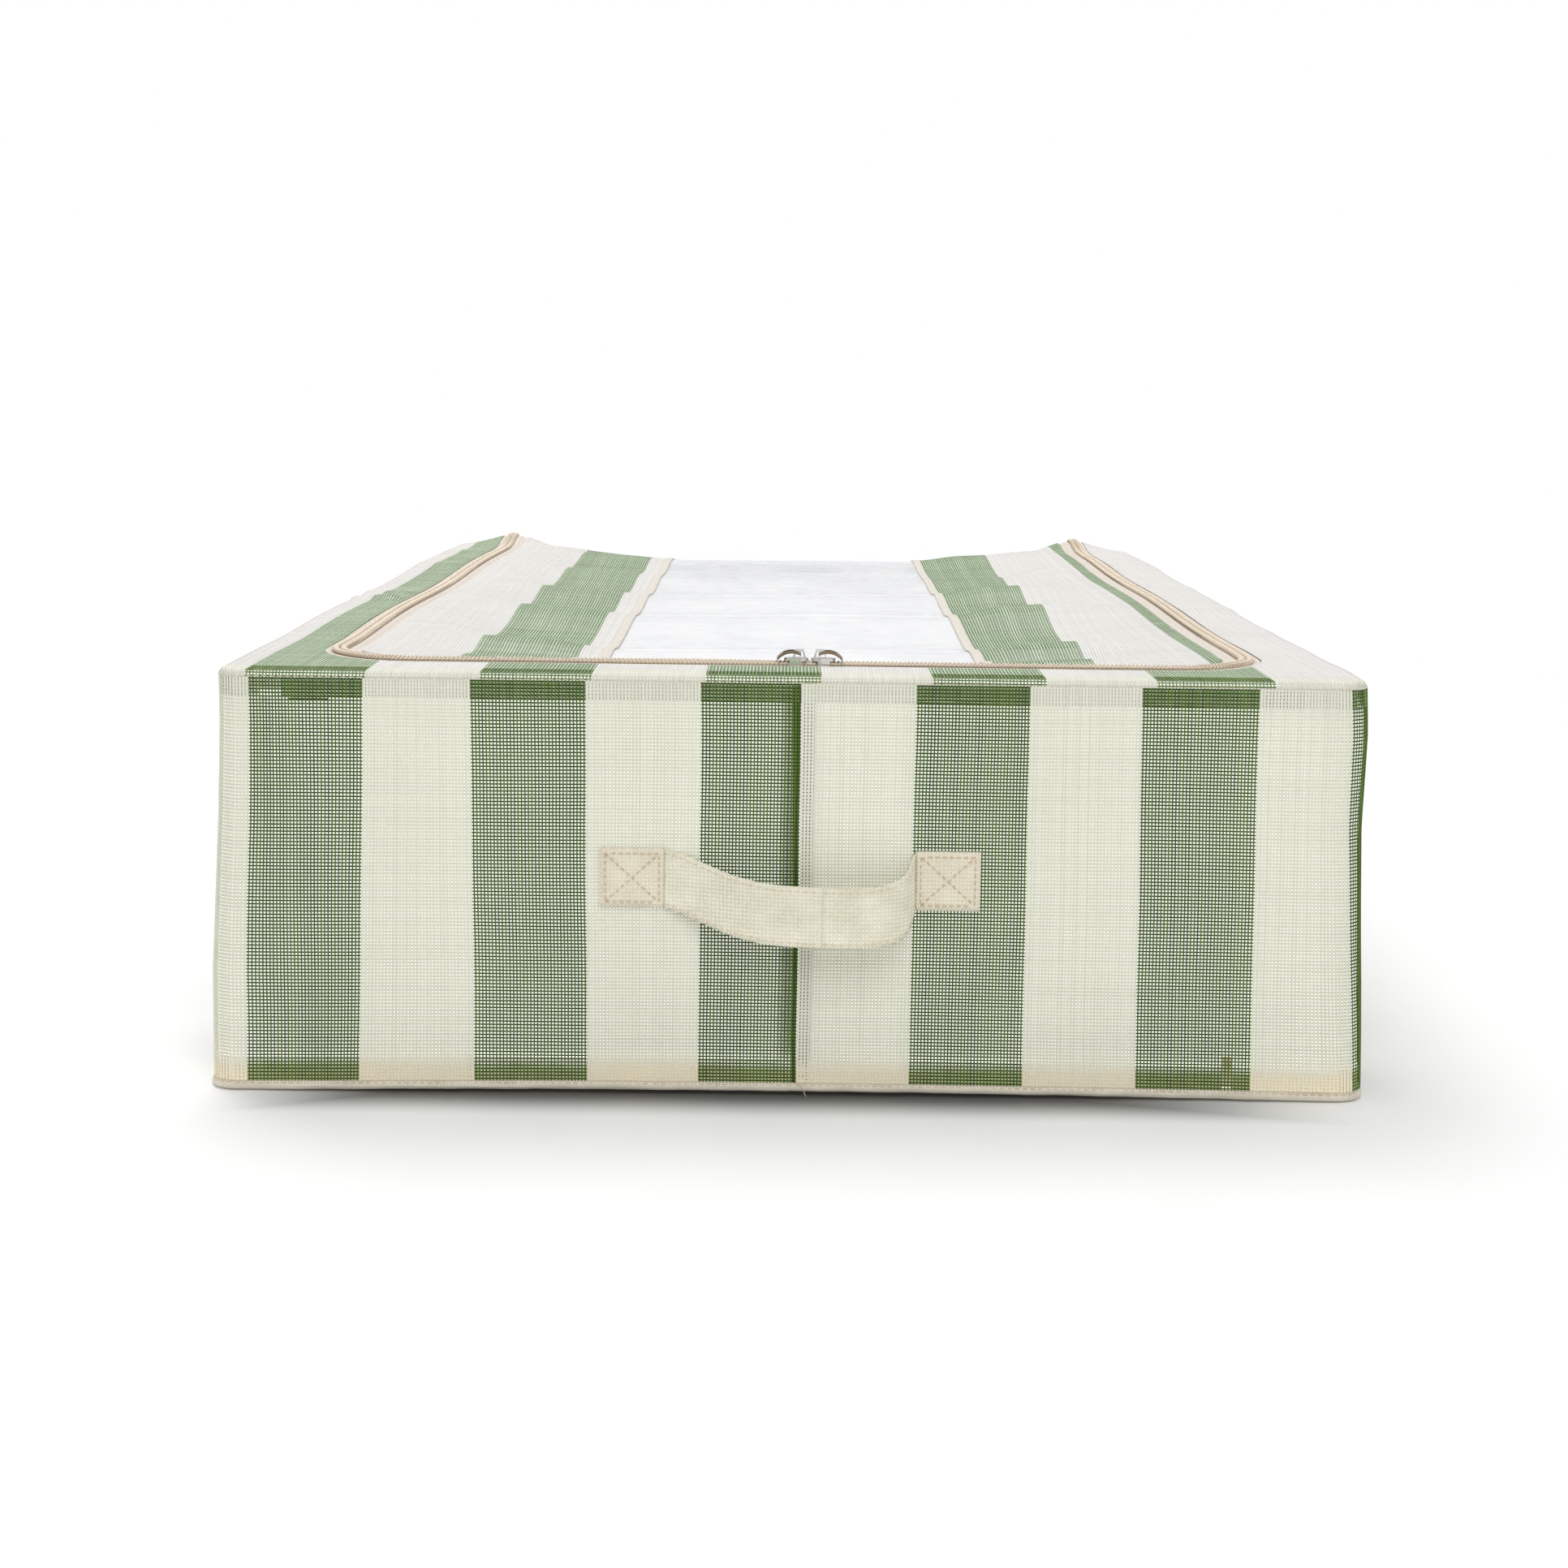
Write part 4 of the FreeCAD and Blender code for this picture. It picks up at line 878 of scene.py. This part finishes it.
up_fold = np.linspace(FOOT, SEAM_Z - 1 * MM, 30)[None, :]
fold = SEAM_X - 0.2 * MM - np.array([[0], [0.33], [0.67], [1]]) * (1.5 * MM + 1.8 * MM * up_fold / TOP)
folded = slab(wall(fold, up_fold, -0.22 * MM), wall(fold, up_fold, -0.24 * MM))
add_piece("seam_fold_edge", [folded], "seam_fold", "box", [])
# This turned seam edge is a real layer, painted near black for the shade in the gap behind the seam.
turned_s = np.linspace(SEAM_X + 0.3 * MM, SEAM_X + 6 * MM, 4)
turned = strip(wall, turned_s, np.linspace(FOOT, SEAM_Z, 30), -0.9 * MM, -1.1 * MM)
add_piece("seam_turned_edge", [turned], "shade", "box", [])
# A grey sheet behind the open gap in the seam band stands in for the shade seen through it, lifted by a faint
# painted glow.
slot_s = np.linspace(BAND_GAPS[1][0], BAND_GAPS[1][1] + 2 * MM, 8)
slot = strip(wall, slot_s, np.linspace(SEAM_Z - 9 * MM, SEAM_Z - 0.5 * MM, 6), -1.2 * MM, -1.3 * MM)
add_piece("open_seam_shade", [slot], "slot", "box", [])

chunks = []
for end in (-1, 1):
    along = np.linspace(-CLOTH_HALF_W + 6 * MM, CLOTH_HALF_W - 6 * MM, 60)
    over = end * (CLOTH_HALF_L - 7 * MM * np.linspace(0, 1, 5))
    chunks.append(strip(border, along, over, -0.9 * MM, -1.1 * MM))
for corner in (HALF_W, half_round - HALF_W, half_round + HALF_W, -HALF_W):
    places = corner + np.linspace(-24 * MM, 24 * MM, 24)
    chunks.append(strip(wall, places, np.linspace(FOOT, SEAM_Z - 8 * MM, 12), -1.5 * MM, -1.7 * MM))
add_piece("corner_backing", chunks, "board", "box", [])

for colour in ("green", "cream"):
    chunks = []
    for low, high, name in SIDES["left"] + SIDES["right"]:
        if name != colour:
            continue
        for start, stop in ((low, min(high, LABEL_SPAN[0])), (max(low, LABEL_SPAN[1]), high)):
            if stop - start > MM:
                along = np.linspace(start, stop, max(3, int((stop - start) / (4 * MM))))
                chunks.append(strip(wall, along, np.linspace(FOOT, HEM_HIGH.z, 5), -0.9 * MM, -1.2 * MM))
    add_piece("base_hem_" + colour, chunks, colour + "_hem", "box", ["base_hem"])


# ==== boards and linings
def slouched_box(node, steps=24):
    """The CAD box of a board, cut finely and let slouch with the cloth."""
    low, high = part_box(node)
    size = high - low
    thin = min(range(3), key=lambda k: size[k])
    u, v = [k for k in range(3) if k != thin]
    faces = []
    for place in (high[thin], low[thin]):
        p = np.zeros((steps, steps, 3))
        p[..., u] = np.linspace(low[u], high[u], steps)[:, None]
        p[..., v] = np.linspace(low[v], high[v], steps)[None, :]
        p[..., thin] = place
        faces.append(settle(p))
    return slab(*faces)


for place in ("front_left", "front_right", "back_left", "back_right", "left", "right"):
    node = place + "_board"
    add_piece(node + "_stiff", [slouched_box(node)], "board", "box", [node], smooth_faces=False)

heights = np.linspace(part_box("lining_left")[0].z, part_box("lining_left")[1].z, 12)
GAP = 0.5 * MM
for side, start, stop in (
    ("left", -half_round - SEAM_X + GAP, SEAM_X - GAP),
    ("right", SEAM_X + GAP, half_round - SEAM_X - GAP),
):
    sheet = strip(wall, np.linspace(start, stop, 360), heights, -4.5 * MM, -5.0 * MM)
    add_piece("lining_" + side + "_cloth", [sheet], "lining", "box", ["lining_" + side])


def floor_sheet(node):
    """A flat rounded sheet of the CAD node's size."""
    low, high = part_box(node)
    x, y = spread(low, high, (26, 40))
    flat_x, flat_y = rounded(x * HALF_W / high.x, y * HALF_L / high.y)
    flat_x, flat_y = flat_x * high.x / HALF_W, flat_y * high.y / HALF_L
    return slab(settle(points(flat_x, flat_y, high.z)), settle(points(flat_x, flat_y, low.z)))


for node, ending, finish in (("base_board", "_stiff", "board"), ("base_lining", "_cloth", "lining")):
    add_piece(node + ending, [floor_sheet(node)], finish, "box", [node], smooth_faces=False)


# ==== canvas base
def base_profile(s):
    """The turned-up rim: rows of places from under the floor round to the wall's foot."""
    inset = np.array([9.0, 5.0, 1.2, -0.5, -1.1, -0.8, 0.0, 1.6]) * MM
    height = np.array([0.15, 0.1, 0.15, 0.8, 1.9, 3.0, 4.0, 4.4]) * MM
    s = s[:, None]
    lump = 0.35 * MM * drift(s, height[None] * 8, 0.03, 9) + 0.15 * MM * drift(s, height[None], 0.008, 2)
    x, y = wall_route.at(s, -inset[None] + lump)
    return settle(points(x, y, height[None] + 0.1 * MM * drift(s, height[None], 0.02, 4)))


rim = base_profile(np.linspace(0, wall_route.length, 1400))
under_x, under_y = rounded(*spread(*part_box("base_panel"), (40, 60)))
INSET = 7 * MM
sheet = points(under_x * (1 - INSET / HALF_W), under_y * (1 - INSET / HALF_L), 0.2 * MM)
sheet[..., 2] += 0.15 * MM * drift(sheet[..., 0], sheet[..., 1], 0.08, 3)
floor_chunk = slab(sheet + points(0, 0, 0.6 * MM), sheet)
chunks = [(rim, grid_quads(*rim.shape[:2])), (settle(floor_chunk[0]), floor_chunk[1])]
add_piece("base_canvas", chunks, "canvas", "box", ["base_panel"])


def round_stitches(z, out, **sizes):
    """Stitches all the way round the walls."""
    s = np.arange(0, wall_route.length, 1.5 * MM)
    line = wall(s, z, out)
    outward = unit(wall(s, z, out + 1 * MM) - line)
    chunks = []
    for start in range(0, len(line) - 1, 60):
        part = slice(start, min(start + 61, len(line)))
        chunks.append(stitches(line[part], unit(outward[part].mean(axis=0)), **sizes))
    return chunks


low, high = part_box("base_seam_thread")
chunks = round_stitches((low.z + high.z) / 2 - TUCK, 0.3 * MM)
add_piece("base_stitches", chunks, "thread", "box", ["base_seam_thread"])
chunks = round_stitches(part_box("top_seam_thread")[0].z, 0.1 * MM, radius=0.16 * MM)
add_piece("top_stitches", chunks, "pale_thread", "box", ["top_seam_thread"])

end_s = np.linspace(0, 1, 14)
loose = points(
    4 * MM + 5 * MM * end_s + 0.8 * MM * np.sin(5 * end_s),
    -HALF_L - 0.6 * MM - 1.5 * MM * np.sin(math.pi * end_s),
    5.5 * MM - 6.5 * MM * end_s + 1.2 * MM * np.sin(3 * end_s) + FRONT_BOW * 0.6,
)
add_piece("loose_thread", [tubes(loose[None], OUTWARD, 0.22 * MM)], "pale_thread", "box", [])


# ==== zip
def on_chain(s, across, z):
    """A place beside the zip's centreline, slouching with the lid's edge."""
    x, y = chain_route.at(s, across)
    return settle(points(x, y, z))


COIL_PITCH = 1.85 * MM
TURN_POINTS = 10
turns = int(chain_route.length / COIL_PITCH)
s = np.linspace(0, chain_route.length, turns * TURN_POINTS)
for side, sign, body in (("outer", 1, "box"), ("inner", -1, "lid")):
    angle = 2 * math.pi * s / COIL_PITCH + (0 if sign > 0 else math.pi)
    wide, high = COIL_R * 1.15, COIL_R * 0.85
    wire = on_chain(s, sign * ROW_OFFSET + wide * np.cos(angle), COIL_Z + high * np.sin(angle))
    core = on_chain(s[::6], sign * ROW_OFFSET, COIL_Z)
    up = np.array([0.0, 0.0, 1.0])
    chunks = [tubes(wire[None], up, 0.36 * MM, 4), tubes(core[None], up, 0.85 * MM, 6)]
    add_piece("zip_coil_" + side + "_wire", chunks, "coil", body, ["zip_coil_" + side])

CORDS = (4.6 * MM, 6.4 * MM)
CORD_HEIGHT = 0.9 * MM
tape_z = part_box("zip_tape_outer")[1].z


def tape_chunk(place, rows, sign, reach):
    """Woven tape with two raised cords; place gives x and y at rows along it and distances across it."""
    across = np.linspace(0.6 * MM, reach, 34)[None]
    ribs = sum(CORD_HEIGHT * hump(across - c, 0.6 * MM) for c in CORDS)
    x, y = place(rows[:, None], sign * across)
    return slab(settle(points(x, y, tape_z + ribs)), settle(points(x, y, tape_z - 0.6 * MM)))


def tape(sign, reach):
    """The tape round the chain and its two straight ends behind it, running to the hinge."""
    chunks = [tape_chunk(chain_route.at, np.arange(0, chain_route.length, 4 * MM), sign, reach)]
    tail = np.linspace(CHAIN_END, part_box("zip_tape_outer")[1].y, 6)
    for side in (-1, 1):
        chunks.append(tape_chunk(lambda y, out, side=side: (side * (CHAIN_X + out), y), tail, sign, reach))
    return chunks


outer = tape(1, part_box("zip_tape_outer")[1].x - CHAIN_X)
add_piece("zip_tape_outer_cloth", outer, "tape", "box", ["zip_tape_outer"])
inner = tape(-1, CHAIN_X - (LID_HIGH.x - 8 * MM))
add_piece("zip_tape_inner_cloth", inner, "tape", "lid", ["zip_tape_inner"], hinge_blend)

for node in ("zip_stop_left", "zip_stop_right"):
    piece = add_piece(node + "_block", [slouched_box(node, 5)], "coil", "box", [node])
    rounding = piece.modifiers.new("rounding", "BEVEL")
    rounding.width = 0.5 * MM
    rounding.segments = 2

low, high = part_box("hinge_tape")
x, y = spread(low, high, (60, 8))
hinge_sheet = slab(settle(points(x, y, high.z)), settle(points(x, y, low.z)))
add_piece("hinge_tape_cloth", [hinge_sheet], "tape", "box", ["hinge_tape"])

# ==== window
film = lid(*spread(*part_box("lid_window"), (60, 200)), -0.35 * MM)
add_piece("lid_window_film", [(film, grid_quads(60, 200))], "film", "lid", ["lid_window"])

bind_route = ring(BIND_MID, bind_front, bind_back, 4 * MM)
bind_s = np.linspace(0, bind_route.length, 500)[:, None]
bind_out = np.linspace(-2.6 * MM, 2.6 * MM, 7)[None, :]
bx, by = bind_route.at(bind_s, bind_out)
crown = 0.55 * MM * (1 - (bind_out / (2.7 * MM)) ** 2) ** 0.5
binding = slab(lid(bx, by, RIDGE + 0.15 * MM + crown), lid(bx, by, RIDGE))
add_piece("window_binding_cloth", [binding], "binding", "lid", ["window_binding"])

# ==== handle
END_LOW, END_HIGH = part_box("handle_end_right")
STRAP_THICK = 1.1 * MM
# the strap's lower edge in mm: along X, out from the wall, down from the sewn ends
STRAP = [
    (-54.6, 0.9, 0.0), (-46, 3.0, 2.6), (-36, 6.5, 6.2), (-24, 11.5, 9.8), (-10, 16.0, 12.0), (6, 19.0, 12.6),
    (22, 20.2, 12.8), (36, 19.6, 12.0), (45, 16.5, 10.5), (50, 12.0, 8.5), (52.5, 7.0, 5.5), (54.6, 0.9, 0.6),
]


def spline(knots, t):
    """Catmull-Rom through the knots, t from 0 to 1."""
    knots = np.array(knots, float)
    place = np.clip(t, 0, 1) * (len(knots) - 1)
    i = np.minimum(place.astype(int), len(knots) - 2)
    weight = catmull(place - i)
    return sum(weight[..., k, None] * knots[np.clip(i + k - 1, 0, len(knots) - 1)] for k in range(4))


def strap_sheet(t0, t1):
    """Part of the free strap: rows along it, columns up its width."""
    t = np.linspace(t0, t1, 60)
    path = spline(STRAP, t) * MM
    up = np.linspace(0, 1, 15)[None, :]
    curl = 1.0 * MM * (2 * up - 1) ** 2
    y = -HALF_L - path[:, 1:2] - curl * smooth(path[:, 1:2] / (10 * MM)) + 2.5 * MM * (up - 0.5)
    z = END_LOW.z - path[:, 2:3] + (END_HIGH.z - END_LOW.z) * up
    front = points(path[:, 0:1], np.minimum(y, -HALF_L - 0.9 * MM), z)
    normal = np.cross(np.gradient(front, axis=0), np.gradient(front, axis=1))
    return slab(front, front - unit(normal) * STRAP_THICK), front


for side, start, edge in (("left", 0.0, -1), ("right", 0.5, 1)):
    chunk, front = strap_sheet(start, start + 0.5)
    still, free = edge * STRAP[-1][0] * MM, edge * 30 * MM
    blend = ("box", "handle", (still, -HALF_L, END_LOW.z), (free, -HALF_L, END_LOW.z))
    add_piece("handle_strap_" + side, [chunk], "webbing", "handle", ["handle_strap"], blend)
    lines = [stitches(front[:, k], OUTWARD, radius=0.24 * MM) for k in (1, -2)]
    add_piece("handle_edge_stitches_" + side, lines, "pale_thread", "handle", [], blend)

for side in ("left", "right"):
    low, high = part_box("handle_end_" + side)
    x, z = spread(low, high, (16, 16), "xz")
    across, up = (x - low.x) / (high.x - low.x), (z - low.z) / (high.z - low.z)
    puff = 0.35 * MM * np.sin(math.pi * across) * np.sin(math.pi * up)
    front = points(x, low.y - puff + 0.2 * MM * drift(x, z, 0.02, 3), z)
    patch = slab(front, points(x, high.y, z))
    add_piece("handle_patch_" + side, [patch], "patch", "box", ["handle_end_" + side])
    inset = 2.2 * MM
    x0, x1, z0, z1 = low.x + inset, high.x - inset, low.z + inset, high.z - inset
    corners = [(x0, z0), (x1, z0), (x1, z1), (x0, z1), (x0, z0)]
    crosses = [((x0, z0), (x1, z1)), ((x0, z1), (x1, z0))]
    lines = []
    for (ax, az), (bx, bz) in list(zip(corners, corners[1:])) + crosses:
        t = np.linspace(0, 1, 12)
        line = points(ax + (bx - ax) * t, low.y - 0.3 * MM, az + (bz - az) * t)
        lines.append(stitches(line, OUTWARD, length=2.2 * MM, radius=0.24 * MM))
    add_piece("handle_stitches_" + side, lines, "thread", "box", ["handle_thread_" + side])

# ==== CAD nodes that stay as they are
KEPT = {"blank_label": "label"}
for side in ("left", "right"):
    slider = "slider_" + side
    KEPT |= {slider + "_body": "nickel", slider + "_crown": "nickel", slider + "_pull": "brass"}
for node, key in KEPT.items():
    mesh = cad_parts[node].data
    mesh.materials.clear()
    mesh.materials.append(FINISH[key])

# ==== studio
# painted contact shadow on the paper: how far it reaches out from the front edge and its colour
CONTACT_REACH = 33 * MM
CONTACT_SHADE = (0.34, 0.34, 0.33)
WHITE_FROM_TO = (0.75, 1.5)


def paper_finish():
    """White paper with a painted shadow where the box's front edge meets it, that fades into pure white
    further out.
    """
    finish = Finish("paper", 0.9)
    paper = finish.blend(finish.noise(60 * MM, 3), (0.90, 0.90, 0.90), (0.912, 0.912, 0.912))
    # the painted shadow clears away from the front edge, toward the right, the far left and the back
    clear = finish.ramp(finish.place("Y"), -HALF_L, -HALF_L - CONTACT_REACH)
    for axis, start, stop in (
        ("X", 120 * MM, HALF_W + 5 * MM),
        ("X", -HALF_W + 80 * MM, -HALF_W),
        ("Y", 0.0, HALF_L - 80 * MM),
    ):
        clear = finish.maths("MAXIMUM", clear, finish.ramp(finish.place(axis), start, stop))
    finish.colour(finish.blend(clear, CONTACT_SHADE, paper))
    far = finish.node("ShaderNodeVectorMath", operation="LENGTH")
    finish.links.new(finish.where, far.inputs[0])
    white = finish.node("ShaderNodeEmission")
    mixed = finish.node("ShaderNodeMixShader")
    finish.links.new(finish.ramp(far.outputs["Value"], *WHITE_FROM_TO), mixed.inputs[0])
    finish.links.new(finish.shader.outputs[0], mixed.inputs[1])
    finish.links.new(white.outputs[0], mixed.inputs[2])
    finish.links.new(mixed.outputs[0], finish.nodes["Material Output"].inputs["Surface"])
    return finish.material


floor_points = points(np.array([-40, 40])[:, None], np.array([-40, 60])[None, :], 0.0)
floor = mesh_object("floor", [(floor_points, grid_quads(2, 2)[:, ::-1])], paper_finish())


def area_light(name, place, size, power):
    """A soft square light aimed at the box's middle."""
    data = bpy.data.lights.new(name, "AREA")
    data.size = size
    data.energy = power
    lamp = bpy.data.objects.new(name, data)
    lamp.location = place
    toward = Vector((0, 0, 0.1)) - lamp.location
    lamp.rotation_euler = toward.to_track_quat("-Z", "Y").to_euler()
    bpy.context.scene.collection.objects.link(lamp)


area_light("key", (-0.5, 0.8, 2.4), 1.6, 34)
area_light("front_fill", (0.3, -2.4, 2.2), 1.6, 24)

# ---- white surroundings: full strength to the camera, dimmer from below as light
SKY_LOW, SKY_HIGH = 0.45, 1.05
world = bpy.data.worlds.new("studio")
world.use_nodes = True
tree = world.node_tree
sky = tree.nodes["Background"]
ray = tree.nodes.new("ShaderNodeLightPath")
way = tree.nodes.new("ShaderNodeTexCoord")
height = tree.nodes.new("ShaderNodeSeparateXYZ")
rise = tree.nodes.new("ShaderNodeMapRange")
rise.inputs["To Min"].default_value = SKY_LOW
rise.inputs["To Max"].default_value = SKY_HIGH
seen = tree.nodes.new("ShaderNodeMath")
seen.operation = "MAXIMUM"
tree.links.new(way.outputs["Generated"], height.inputs[0])
tree.links.new(height.outputs["Z"], rise.inputs["Value"])
tree.links.new(rise.outputs["Result"], seen.inputs[0])
tree.links.new(ray.outputs["Is Camera Ray"], seen.inputs[1])
tree.links.new(seen.outputs[0], sky.inputs["Strength"])
sky.inputs["Color"].default_value = (1, 1, 1, 1)
bpy.context.scene.world = world
bpy.context.scene.view_settings.view_transform = "Standard"

# ---- camera, from the fit of the photograph's edges
PITCH, YAW, TILT = 0.17996, -0.00177, 0.01232
EYE = (-0.00142, -1.36516, 0.31588)
LENS = 52.2
forward = np.array([math.sin(YAW) * math.cos(PITCH), math.cos(YAW) * math.cos(PITCH), -math.sin(PITCH)])
level = np.array([math.cos(YAW), -math.sin(YAW), 0.0])
upright = np.cross(level, forward)
right = level * math.cos(TILT) + upright * math.sin(TILT)
above = -level * math.sin(TILT) + upright * math.cos(TILT)
camera_data = bpy.data.cameras.new("camera")
camera_data.lens = LENS
camera = bpy.data.objects.new("camera", camera_data)
axes = np.stack([right, above, -forward], axis=1)
camera.matrix_world = Matrix.Translation(EYE) @ Matrix(axes.tolist()).to_4x4()
bpy.context.scene.collection.objects.link(camera)
bpy.context.scene.camera = camera
